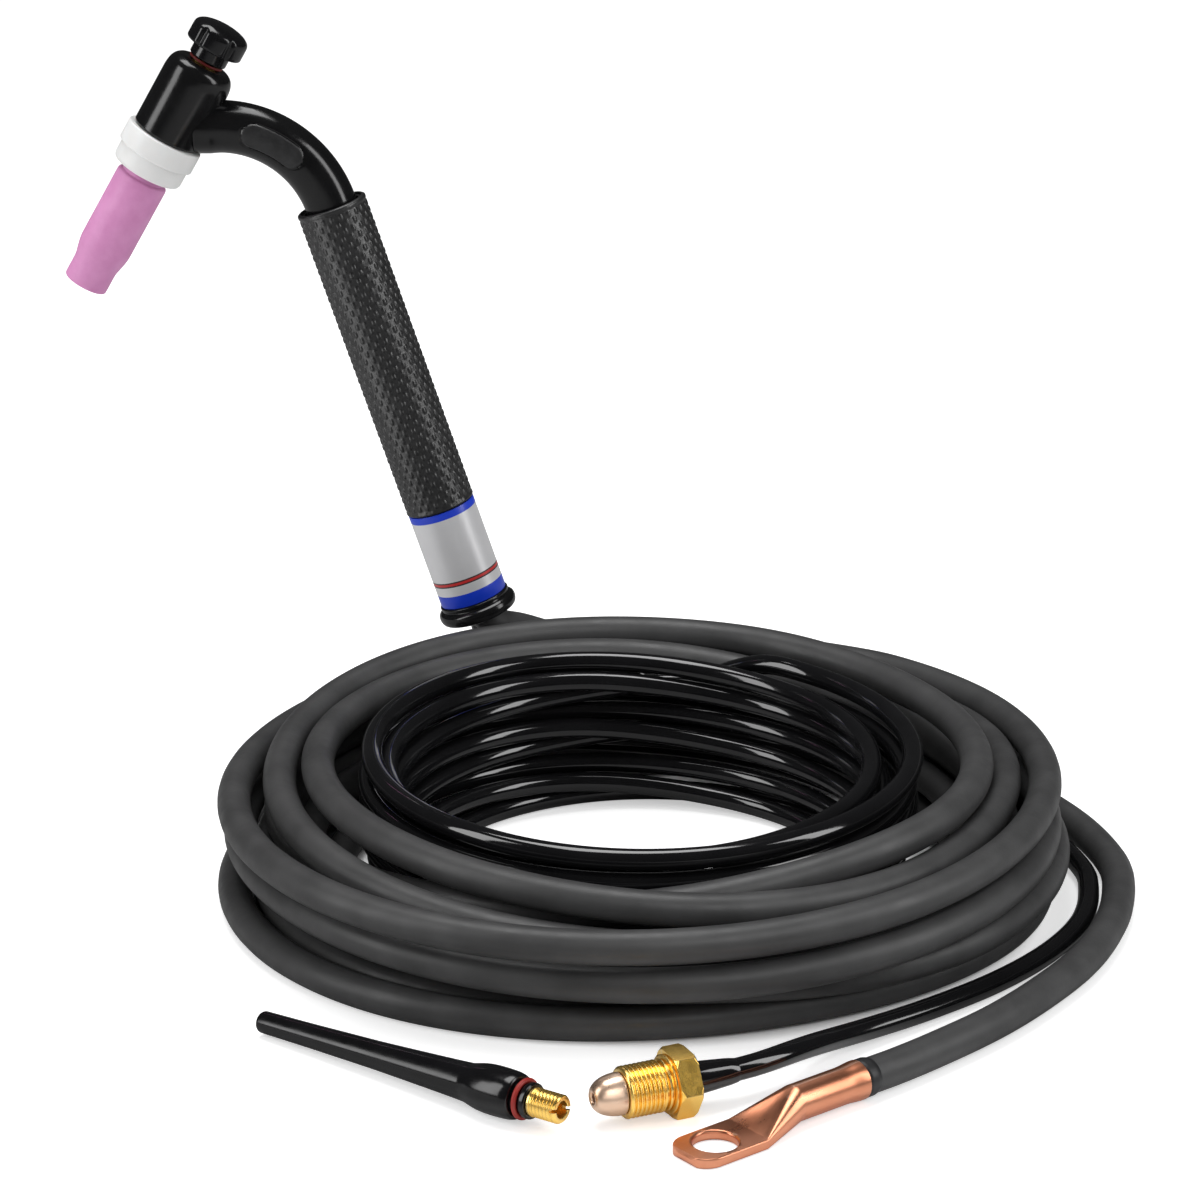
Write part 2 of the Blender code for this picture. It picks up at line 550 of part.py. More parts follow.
# local +Z from the tip towards the hose
FIT = frame_along(FIT_TIP, Vector((math.cos(FIT_HEADING), math.sin(FIT_HEADING), 0)),
                  Vector((0, 0, 1)))


def hex_prism():
    bm = bmesh.new()
    corner_r = HEX_AF / 2 / math.cos(math.radians(30))
    angles = [math.radians(60 * k) for k in range(6)]
    corners = [bm.verts.new((math.cos(a) * corner_r, math.sin(a) * corner_r, 0))
               for a in angles]
    grown = bmesh.ops.extrude_face_region(bm, geom=[bm.faces.new(corners)])["geom"]
    far_corners = [part for part in grown if isinstance(part, bmesh.types.BMVert)]
    bmesh.ops.translate(bm, verts=far_corners, vec=(0, 0, HEX_LEN))
    return link("cut_hex", finish_mesh(bm, "cut_hex"), None, FIT)


def gas_nut():
    """Threaded nut; the prism leaves its wide end hexagonal."""
    nut = turned("gas_nut", [
        (4.9, 9.3), (7.1, 9.3), (THREAD_CUT_R, 10.1), (THREAD_CUT_R, 20.4), (6.9, 20.9),
        (6.9, 22.6), (7.9, 23.0), (7.9, 24.2), (12.0, 24.2), (12.0, 31.2), (4.9, 31.2)],
        BRASS, FIT, loop=True)
    cut(nut, hex_prism(), "INTERSECT")


gas_nut()
turned("ball_nipple", [
    (1.5, 0.35), (2.6, 0.0), (4.2, 1.2), (5.4, 3.0), (6.1, 5.0), (6.4, 7.2), (6.4, 9.0),
    (4.55, 9.0), (4.55, 31.4), (3.2, 31.8), (2.9, 39.0), (1.5, 39.0)],
    BRONZE, FIT, 20, loop=True)
turned("hose_sleeve", [
    (4.9, 32.0), (5.2, 32.6), (4.9, 36.0), (4.5, 41.0), (4.2, 45.6), (3.8, 45.6), (3.8, 32.0)],
    VINYL, FIT, 16, loop=True)

# ---------------------------------------------------------------- cable lug
LUG_TIP = Vector((0.0113, -0.1883, 0.0))
LUG_HEADING = math.radians(38.7)
LUG = Matrix.Translation(LUG_TIP) @ Matrix.Rotation(LUG_HEADING, 4, "Z")   # +X along the lug
LUG_SIDES = 20
STUD_R = 0.00675
STUD_X = 0.0118
SOCKET_Z = 0.0061         # height of the socket axis
# (x, half width, half thickness, centre height, corner power) mm; power 1 is an ellipse,
# less is squarer.  Flat tongue to socket mouth, then back down inside the socket.
LUG_SECTIONS = (
    (0.0, 6.4, 1.5, 1.7, 0.35), (1.6, 8.2, 1.6, 1.7, 0.3), (4.0, 9.0, 1.6, 1.7, 0.3),
    (24.0, 9.0, 1.6, 1.7, 0.3), (27.5, 8.6, 1.8, 1.9, 0.4), (33.0, 7.2, 3.0, 3.2, 0.6),
    (39.0, 6.2, 4.8, 5.0, 0.85), (45.0, 5.6, 5.6, 5.8, 1.0), (60.0, 5.6, 5.6, 5.9, 1.0),
    (65.0, 5.8, 5.8, 6.0, 1.0), (67.0, 6.1, 6.1, 6.2, 1.0),
    (67.0, 5.3, 5.3, 6.2, 1.0), (64.0, 4.6, 4.6, 6.0, 1.0), (47.0, 4.6, 4.6, 5.9, 1.0))


def lug_section(x, half_width, half_thick, centre_z, power):
    """Points of one superellipse section, mm."""
    points = []
    for k in range(LUG_SIDES):
        angle = 2 * math.pi * (k + 0.5) / LUG_SIDES
        cosine, sine = math.cos(angle), math.sin(angle)
        points.append((x, half_width * math.copysign(abs(cosine) ** power, cosine),
                       centre_z + half_thick * math.copysign(abs(sine) ** power, sine)))
    return points


def cable_lug():
    bm = bmesh.new()
    bridge_rings(bm, [[bm.verts.new(Vector(point) * MM) for point in lug_section(*section)]
                      for section in LUG_SECTIONS])
    lug = link("cable_lug", finish_mesh(bm, "cable_lug", sharp=30), COPPER, LUG)
    cut(lug, turned("cut_stud_hole", cylinder(STUD_R / MM, -4, 8), None,
                    LUG @ Matrix.Translation((STUD_X, 0, 0))))


cable_lug()
# local +Z along the socket, away from the tip
LUG_AXIS = LUG @ Matrix.Translation((0, 0, SOCKET_Z)) @ Matrix.Rotation(math.pi / 2, 4, "Y")
turned("conductor", cylinder(4.2, 48.0, 71.5), COPPER, LUG_AXIS, 12)
turned("lug_collar", [
    (4.9, 67.4), (5.7, 67.4), (5.95, 68.0), (5.95, 70.8), (5.7, 71.4), (4.9, 71.4)],
    COVER, LUG_AXIS, 20, loop=True)

# ---------------------------------------------------------------- spare long back cap
CAP_TAIL = Vector((-0.1164, -0.1008, 0.0041))
CAP_HEADING = math.radians(-37.4)
CAP_TILT = math.asin(0.0038 / 0.0975)    # rise over length
CAP_STRETCH = 1.04                       # lengthens the profiles below
CAP_DIR = Vector((math.cos(CAP_HEADING) * math.cos(CAP_TILT),
                  math.sin(CAP_HEADING) * math.cos(CAP_TILT), math.sin(CAP_TILT)))
CAP = frame_along(CAP_TAIL, CAP_DIR, Vector((0, 0, 1)))    # local +Z to the open end


def stretched(profile):
    return [(radius, height * CAP_STRETCH) for radius, height in profile]


turned("long_back_cap", stretched([
    (0, 0.0), (2.6, 0.3), (3.35, 1.2), (3.65, 14.0), (4.6, 50.0), (5.6, 69.0), (6.2, 79.0),
    (6.7, 83.0), (7.15, 87.0), (7.3, 92.0), (7.25, 95.4), (6.6, 97.3), (4.7, 97.5),
    (4.7, 98.6), (4.7, 102.6), (3.1, 102.6), (3.1, 84.0), (1.5, 80.0), (1.5, 12.0),
    (0, 11.0)]), COVER, CAP, 20)
seal_ring("long_cap_oring", 5.55, 0.78, 99.4 * CAP_STRETCH, CAP)
turned("long_cap_insert", stretched([
    (1.5, 88.0), (2.8, 88.0), (2.8, 102.9), (4.4, 102.9), (4.4, 111.6), (4.0, 112.6),
    (2.6, 112.6), (2.6, 104.5), (1.5, 103.5)]), BRASS, CAP, 18, loop=True)

# ---------------------------------------------------------------- placing the whole set
base = bpy.data.objects.new("torch_set", None)
bpy.context.scene.collection.objects.link(base)
base.location = PLACE
for ob in list(bpy.data.objects):
    if ob is not base:
        ob.parent = base
bpy.context.view_layer.update()
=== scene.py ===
"""A welding torch with its power cable and gas hose laid in a coil on the floor.

The floor is z = 0 and the camera looks along +Y.  The torch stands over the +Y side of the coil,
its handle leaning to -X as it rises.  The cable lug, the gas fitting and a spare long back cap
lie on the floor on the -Y side.  Places are in metres; outlines and lead tables are in
millimetres and go through MM.
"""
import math
import bpy
import bmesh
import numpy as np
from mathutils import Vector, Matrix


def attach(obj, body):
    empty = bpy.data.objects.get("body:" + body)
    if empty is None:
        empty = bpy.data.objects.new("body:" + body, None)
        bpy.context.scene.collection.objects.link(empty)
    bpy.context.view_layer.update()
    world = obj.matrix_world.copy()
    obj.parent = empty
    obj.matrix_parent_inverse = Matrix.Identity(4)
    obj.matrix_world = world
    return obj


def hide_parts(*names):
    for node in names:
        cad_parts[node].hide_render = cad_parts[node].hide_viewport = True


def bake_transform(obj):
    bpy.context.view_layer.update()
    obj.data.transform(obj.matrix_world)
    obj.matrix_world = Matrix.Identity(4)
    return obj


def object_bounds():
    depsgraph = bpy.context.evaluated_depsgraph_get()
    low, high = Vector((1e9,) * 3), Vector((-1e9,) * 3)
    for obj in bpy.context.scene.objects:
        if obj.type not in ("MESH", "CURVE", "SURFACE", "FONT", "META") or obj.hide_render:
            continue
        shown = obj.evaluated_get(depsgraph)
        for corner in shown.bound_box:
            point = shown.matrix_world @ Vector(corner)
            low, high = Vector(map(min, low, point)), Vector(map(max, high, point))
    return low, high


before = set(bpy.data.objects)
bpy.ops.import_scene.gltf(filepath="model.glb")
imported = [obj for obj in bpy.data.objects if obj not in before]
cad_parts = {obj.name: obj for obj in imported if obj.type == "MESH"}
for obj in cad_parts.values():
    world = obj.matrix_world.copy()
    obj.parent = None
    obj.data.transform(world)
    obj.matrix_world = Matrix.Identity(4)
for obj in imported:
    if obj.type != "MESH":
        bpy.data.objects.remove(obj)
CAD_BOX = [list(map(float, p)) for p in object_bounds()]
MM = 0.001
# drawing origin, near the middle of the coil: the places below are measured from it
O = Vector(((CAD_BOX[0][0] + CAD_BOX[1][0]) / 2 + 0.017044,
            (CAD_BOX[0][1] + CAD_BOX[1][1]) / 2 + 0.016791, 0.0))
SIDE = Vector((0, 1, 0))
UP = Vector((0, 0, 1))

# ============================================================ places and directions
COIL_Y = 0.016
TORCH_Y = 0.138 + O.y
GROMMET_END = Vector((-0.0561 + O.x, TORCH_Y, 0.0568))
HANDLE_DIR = Vector((-0.3187, 0.0, 0.9479)).normalized()
HEAD_SEAT = Vector((-0.1638 + O.x, TORCH_Y, 0.2323))
HEAD_DIR = Vector((0.4986, 0.0, 0.8669)).normalized()
FIT_TIP = Vector((-0.0149, -0.1664, 0.009525)) + O
FIT_HEADING = math.radians(24.6)
LUG_TIP = Vector((0.0113, -0.1883, 0.0)) + O
LUG_HEADING = math.radians(38.7)
LUG_TUBE_Z = 6.1                # mm, height of the round end's axis
CAP_TAIL = Vector((-0.1164, -0.1008, 0.0041)) + O
CAP_HEADING = math.radians(-37.4)
CAP_TILT = math.asin(0.0038 / 0.0975)


def heading_vector(heading, tilt=0.0):
    return Vector((math.cos(heading) * math.cos(tilt), math.sin(heading) * math.cos(tilt),
                   math.sin(tilt)))


def frame_along(origin, direction, side=SIDE):
    """Matrix whose z axis runs along a direction."""
    z = direction.normalized()
    x = side.cross(z).normalized()
    y = z.cross(x)
    matrix = Matrix((x, y, z)).transposed().to_4x4()
    matrix.translation = origin
    return matrix


HEAD = frame_along(HEAD_SEAT, HEAD_DIR)
HANDLE = frame_along(GROMMET_END, HANDLE_DIR)
FIT = frame_along(FIT_TIP, heading_vector(FIT_HEADING), UP)
LUG = Matrix.Translation(LUG_TIP) @ Matrix.Rotation(LUG_HEADING, 4, "Z")
LUG_AXIS = (LUG @ Matrix.Translation((0, 0, LUG_TUBE_Z * MM))
            @ Matrix.Rotation(math.pi / 2, 4, "Y"))
CAP = frame_along(CAP_TAIL, heading_vector(CAP_HEADING, CAP_TILT), UP)


# ============================================================ mesh helpers
def mesh_from_rings(name, rings, loop=False, start_cap=None, end_cap=None, matrix=Matrix(),
                    sharp=40.0):
    """Skin through rings of equal point count.

    loop joins the last ring to the first; a cap is the point where a closing fan meets;
    edges over `sharp` degrees are marked sharp.
    """
    rings = np.asarray(rings, float)
    count, sides, _ = rings.shape
    placing = np.array(matrix)
    verts = (rings.reshape(-1, 3) @ placing[:3, :3].T + placing[:3, 3]).tolist()
    here = np.arange(sides)
    beside = (here + 1) % sides
    polys = []
    for row in range(count if loop else count - 1):
        a = row * sides
        b = (row + 1) % count * sides
        polys += np.column_stack([a + here, a + beside, b + beside, b + here]).tolist()
    for cap, row, flip in ((start_cap, 0, True), (end_cap, count - 1, False)):
        if cap is None:
            continue
        tip = len(verts)
        verts.append(tuple(matrix @ Vector(cap)))
        for j in range(sides):
            a, b = row * sides + j, row * sides + (j + 1) % sides
            polys.append((b, a, tip) if flip else (a, b, tip))
    mesh = bpy.data.meshes.new(name)
    mesh.from_pydata(verts, [], polys)
    mesh.validate()
    bm = bmesh.new()
    bm.from_mesh(mesh)
    bmesh.ops.remove_doubles(bm, verts=bm.verts, dist=1e-7)
    bmesh.ops.recalc_face_normals(bm, faces=bm.faces)
    bm.to_mesh(mesh)
    bm.free()
    mesh.shade_smooth()
    if sharp is not None:
        mesh.set_sharp_from_angle(angle=math.radians(sharp))
    piece = bpy.data.objects.new(name, mesh)
    bpy.context.scene.collection.objects.link(piece)
    return piece


def rounded(profile, steps, loop):
    """Turn profile corners (r, z, fillet) into short curves; (r, z) corners stay."""
    points = [np.array(p[:2], float) for p in profile]
    fillets = [p[2] if len(p) > 2 else 0.0 for p in profile]
    outline = []
    count = len(points)
    for i, (corner, fillet) in enumerate(zip(points, fillets)):
        if fillet <= 0 or (not loop and i in (0, count - 1)):
            outline.append(tuple(corner))
            continue
        before, after = points[i - 1], points[(i + 1) % count]
        len_before = np.linalg.norm(before - corner)
        len_after = np.linalg.norm(after - corner)
        reach = min(fillet, len_before * 0.48, len_after * 0.48)
        start = corner + (before - corner) / len_before * reach
        end = corner + (after - corner) / len_after * reach
        for k in range(steps + 1):
            t = k / steps
            outline.append(tuple(start * (1 - t) ** 2 + corner * 2 * t * (1 - t) + end * t * t))
    return outline


def lathe(name, profile, matrix, sides=96, shape=None, sharp=40.0, steps=4):
    """Turn a profile of (r, z[, fillet]) in mm about the z axis of matrix.

    A profile that starts on the axis also ends there; any other is a closed loop.
    shape(angles, r, z) gives the radii of a ring that isn't round.
    """
    loop = profile[0][0] > 0
    outline = rounded(profile, steps, loop)
    start_cap = end_cap = None
    if not loop:
        start_cap = (0, 0, outline.pop(0)[1] * MM)
        end_cap = (0, 0, outline.pop()[1] * MM)
    angles = np.arange(sides) * 2 * math.pi / sides
    rings = []
    for r, z in outline:
        radii = shape(angles, r, z) if shape else r
        rings.append(np.column_stack([radii * np.cos(angles), radii * np.sin(angles),
                                      np.full(sides, z)]) * MM)
    return mesh_from_rings(name, rings, loop, start_cap, end_cap, matrix, sharp)


def torus(name, radius, minor, z, matrix, sides=20):
    turns = [2 * math.pi * i / sides for i in range(sides)]
    profile = [(radius + minor * math.cos(a), z + minor * math.sin(a)) for a in turns]
    return lathe(name, profile, matrix, sharp=None)


def smoothstep(a, b, x):
    t = np.clip((x - a) / (b - a), 0, 1)
    return t * t * (3 - 2 * t)


def thread_depth(z, angles, pitch):
    """Depth of a screw thread, 0 at the crest and 1 at the root."""
    return 0.5 + 0.5 * np.cos(2 * math.pi * (z / pitch) - angles)


def soften(piece, matrix, low, high):
    """Clear the sharp edges of a thread, between two heights (mm) along an axis."""
    inverse = matrix.inverted()
    heights = [(inverse @ v.co).z / MM for v in piece.data.vertices]
    for edge in piece.data.edges:
        if all(low < heights[v] < high for v in edge.vertices):
            edge.use_edge_sharp = False


def block(name, size, matrix):
    x, y, z = [s / 2 for s in size]
    rings = [[(-x, -y, h), (x, -y, h), (x, y, h), (-x, y, h)] for h in (-z, z)]
    return mesh_from_rings(name, rings, start_cap=(0, 0, -z), end_cap=(0, 0, z),
                           matrix=matrix, sharp=None)


def apply_cut(piece, cutter):
    """Take cutter out of piece, remove cutter, and leave piece without material slots."""
    cut = piece.modifiers.new("cut", "BOOLEAN")
    cut.operation = "DIFFERENCE"
    cut.solver = "EXACT"
    cut.object = cutter
    depsgraph = bpy.context.evaluated_depsgraph_get()
    mesh = bpy.data.meshes.new_from_object(piece.evaluated_get(depsgraph))
    piece.modifiers.clear()
    uncut = piece.data
    piece.data = mesh
    bpy.data.meshes.remove(uncut)
    bpy.data.objects.remove(cutter, do_unlink=True)
    mesh.shade_smooth()
    mesh.set_sharp_from_angle(angle=math.radians(35))
    mesh.materials.clear()


def place(piece, body, slot, node, *looks):
    """Give a piece its materials, the body it rides on and the CAD node it replaces."""
    for look in looks:
        piece.data.materials.append(look)
    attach(piece, body)
    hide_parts(node)
    return piece


# ============================================================ materials
def feed(tree, node, inputs):
    """Fill a node's inputs: a socket is linked, anything else is set as the value."""
    for key, value in inputs.items():
        if isinstance(value, bpy.types.NodeSocket):
            tree.links.new(value, node.inputs[key])
        else:
            node.inputs[key].default_value = value


def add_node(tree, kind, inputs={}, **settings):
    node = tree.nodes.new("ShaderNode" + kind)
    for key, value in settings.items():
        setattr(node, key, value)
    feed(tree, node, inputs)
    return node


def remap(tree, value, source=(0.0, 1.0), result=(0.0, 1.0)):
    inputs = {"Value": value, "From Min": source[0], "From Max": source[1],
              "To Min": result[0], "To Max": result[1]}
    return add_node(tree, "MapRange", inputs).outputs["Result"]


def mix_colour(tree, factor, first, second):
    inputs = {"Factor": factor, "A": first, "B": second}
    return add_node(tree, "Mix", inputs, data_type="RGBA").outputs["Result"]


def surface(name, base, rough, metal=0.0, tint=None, tint_scale=30.0, tint_amount=0.35,
            rough_var=0.08, bump=0.0, bump_scale=600.0, fine=0.0, fine_scale=2500.0,
            stretch=(1, 1, 1), matrix=None, wear_and_highlight=None, wear_and_highlight_amount=0.0, coat=0.0,
            coat_rough=0.05, spec=0.5, sss=0.0):
    """Base and tint mixed by noise, with broken-up roughness.

    wear_and_highlight colours raised edges (wear, and a painted highlight on the grip's studs);
    bump and fine are coarse and fine relief; stretch scales the noise along the axes of matrix.
    """
    material = bpy.data.materials.new(name)
    material.use_nodes = True
    tree = material.node_tree
    shader = tree.nodes["Principled BSDF"]
    coords = add_node(tree, "TexCoord").outputs["Object"]
    mapping = add_node(tree, "Mapping", {"Vector": coords})
    if matrix is not None:
        inverse = matrix.inverted()
        feed(tree, mapping, {"Rotation": inverse.to_euler(), "Location": inverse.translation})
    stretched = add_node(tree, "VectorMath", {0: mapping.outputs["Vector"], 1: stretch},
                         operation="MULTIPLY").outputs[0]

    def noise(scale, detail, roughness=0.55):
        inputs = {"Scale": scale, "Detail": detail, "Roughness": roughness,
                  "Vector": stretched}
        return add_node(tree, "TexNoise", inputs).outputs["Fac"]

    if tint is None:
        tint = tuple(min(1.0, c * 1.35 + 0.004) for c in base)
    patches = remap(tree, noise(tint_scale, detail=5.0), (0.35, 0.65), (0.0, tint_amount))
    colour = mix_colour(tree, patches, (*base, 1), (*tint, 1))
    # raised edges take the wear_and_highlight colour: wear on some pieces, a painted highlight
    # on the grip's stud tops
    if wear_and_highlight is not None:
        edges = add_node(tree, "NewGeometry").outputs["Pointiness"]
        wear_and_highlight_mask = remap(tree, edges, (0.53, 0.60), (0.0, wear_and_highlight_amount))
        colour = mix_colour(tree, wear_and_highlight_mask, colour, (*wear_and_highlight, 1))
    roughness = remap(tree, noise(tint_scale * 2.7, detail=4.0), (0.3, 0.7),
                      (max(0.0, rough - rough_var), min(1.0, rough + rough_var)))
    feed(tree, shader, {
        "Base Color": colour, "Roughness": roughness, "Metallic": metal,
        "Specular IOR Level": spec, "Coat Weight": coat, "Coat Roughness": coat_rough})
    if sss > 0:
        feed(tree, shader, {"Subsurface Weight": sss, "Subsurface Scale": 1.0,
                            "Subsurface Radius": (0.002, 0.0016, 0.0014)})
    # each relief adds to the one before it
    relief = None
    for strength, scale, distance in ((bump, bump_scale, 0.0004), (fine, fine_scale, 0.0001)):
        if strength <= 0:
            continue
        inputs = {"Strength": strength, "Distance": distance,
                  "Height": noise(scale, detail=3.0, roughness=0.6)}
        if relief is not None:
            inputs["Normal"] = relief
        relief = add_node(tree, "Bump", inputs).outputs["Normal"]
    if relief is not None:
        feed(tree, shader, {"Normal": relief})
    return material


CABLE_LOOK = surface(
    "cable_rubber_look", base=(0.037, 0.037, 0.0375), rough=0.45, tint=(0.055, 0.055, 0.0555),
    tint_scale=55, tint_amount=0.8, rough_var=0.07, bump=0.10, bump_scale=420, fine=0.25,
    fine_scale=2600, spec=0.42)
HOSE_LOOK = surface(
    "hose_vinyl_look", base=(0.0045, 0.0045, 0.005), rough=0.10, tint=(0.009, 0.009, 0.010),
    tint_scale=35, tint_amount=0.6, rough_var=0.04, bump=0.05, bump_scale=160, spec=0.55,
    coat=0.4, coat_rough=0.04)
COVER_LOOK = surface(
    "moulded_cover_look", base=(0.0045, 0.0045, 0.0048), rough=0.17,
    tint=(0.009, 0.009, 0.0095), tint_scale=60, tint_amount=0.6, rough_var=0.04, bump=0.05,
    bump_scale=300, fine=0.10, fine_scale=3200, wear_and_highlight=(0.03, 0.03, 0.032), wear_and_highlight_amount=0.5)
BACK_CAP_LOOK = surface(
    "back_cap_look", base=(0.004, 0.004, 0.0045), rough=0.16, tint=(0.008, 0.008, 0.009),
    tint_scale=80, tint_amount=0.5, rough_var=0.04, fine=0.06, fine_scale=2800,
    wear_and_highlight=(0.03, 0.03, 0.032), wear_and_highlight_amount=0.4)
PAD_LOOK = surface(
    "blank_pad_look", base=(0.015, 0.015, 0.0155), rough=0.36, tint=(0.026, 0.026, 0.027),
    tint_scale=220, tint_amount=0.8, bump=0.25, bump_scale=1500)
# its raised-edge colour is a painted highlight that lightens the stud tops against the darker
# gaps
GRIP_LOOK = surface(
    "grip_rubber_look", base=(0.011, 0.011, 0.0113), rough=0.34, tint=(0.018, 0.018, 0.0185),
    tint_scale=170, tint_amount=0.75, rough_var=0.06, bump=0.15, bump_scale=1500, fine=0.15,
    fine_scale=4200, spec=0.60, wear_and_highlight=(0.05, 0.05, 0.052), wear_and_highlight_amount=0.5)
PLASTIC_LOOK = surface(
    "inner_plastic_look", base=(0.014, 0.014, 0.015), rough=0.45, tint_scale=60, bump=0.1,
    spec=0.4)
INSULATOR_LOOK = surface(
    "insulator_look", base=(0.74, 0.74, 0.735), rough=0.42, tint=(0.80, 0.80, 0.795),
    tint_scale=70, tint_amount=0.7, bump=0.06, bump_scale=500, fine=0.08, fine_scale=2800,
    sss=0.15, spec=0.45)
ALUMINA_LOOK = surface(
    "alumina_look", base=(0.60, 0.235, 0.47), rough=0.50, tint=(0.68, 0.30, 0.55),
    tint_scale=150, tint_amount=0.7, bump=0.14, bump_scale=900, fine=0.22, fine_scale=3600,
    sss=0.08, spec=0.4, wear_and_highlight=(0.80, 0.45, 0.68), wear_and_highlight_amount=0.4)
BRASS_LOOK = surface(
    "brass_look", base=(0.98, 0.62, 0.13), rough=0.24, metal=0.95, tint=(0.99, 0.70, 0.22),
    tint_scale=120, tint_amount=0.5, rough_var=0.04, fine=0.04, fine_scale=4000,
    wear_and_highlight=(1.0, 0.84, 0.50), wear_and_highlight_amount=0.5)
BRONZE_LOOK = surface(
    "bronze_look", base=(0.72, 0.50, 0.36), rough=0.30, metal=0.92, tint=(0.82, 0.62, 0.48),
    tint_scale=140, tint_amount=0.5, rough_var=0.04, fine=0.06, fine_scale=3800)
COPPER_LOOK = surface(
    "copper_look", base=(0.60, 0.225, 0.12), rough=0.31, metal=0.97, tint=(0.74, 0.33, 0.20),
    tint_scale=60, tint_amount=0.7, rough_var=0.05, stretch=(0.35, 1.6, 1.6), bump=0.04,
    bump_scale=500, fine=0.12, fine_scale=2600, wear_and_highlight=(1.0, 0.64, 0.47), wear_and_highlight_amount=0.6,
    matrix=LUG)
SEAL_LOOK = surface(
    "seal_look", base=(0.30, 0.014, 0.010), rough=0.42, tint=(0.38, 0.030, 0.02),
    tint_scale=200, tint_amount=0.6, bump=0.08, bump_scale=1200)
# painted shade: a darker copy of the red seal rubber for the ring that sits in shade under the
# button
SHADED_SEAL_LOOK = surface(
    "shaded_seal_look", base=(0.12, 0.008, 0.006), rough=0.5, tint=(0.17, 0.014, 0.010),
    tint_scale=200, tint_amount=0.6, bump=0.08, bump_scale=1200)
TUNGSTEN_LOOK = surface(
    "tungsten_look", base=(0.36, 0.36, 0.37), rough=0.32, metal=1.0, tint_scale=200,
    stretch=(1, 1, 0.1), bump=0.1)
FOIL_LOOK = surface(
    "label_silver_look", base=(0.76, 0.76, 0.775), rough=0.36, metal=0.40,
    tint=(0.86, 0.86, 0.875), tint_scale=40, tint_amount=0.6, rough_var=0.05, fine=0.08,
    fine_scale=3000, coat=0.5, coat_rough=0.12)
BLUE_LOOK = surface(
    "label_blue_look", base=(0.002, 0.036, 0.54), rough=0.38, tint=(0.006, 0.045, 0.60),
    tint_scale=60, tint_amount=0.6, fine=0.06, coat=0.15, coat_rough=0.2)
RED_LOOK = surface(
    "label_red_look", base=(0.55, 0.02, 0.02), rough=0.36, tint=(0.62, 0.03, 0.03),
    tint_scale=60, tint_amount=0.6, fine=0.06, coat=0.4, coat_rough=0.12)
INK_LOOK = surface(
    "label_ink_look", base=(0.02, 0.02, 0.022), rough=0.36, tint_scale=60, fine=0.06,
    coat=0.4, coat_rough=0.12)

# ============================================================ cable and hose
CABLE_R = 0.0055
HOSE_R = 0.0035
FLOOR_GAP = 0.0001
STRAND_GAP = 0.0006
STATIONS = 48                   # per turn
SETTLE_ROUNDS = 420
SETTLE_SMOOTHING = 0.03
PATH_SPACING = 0.0032

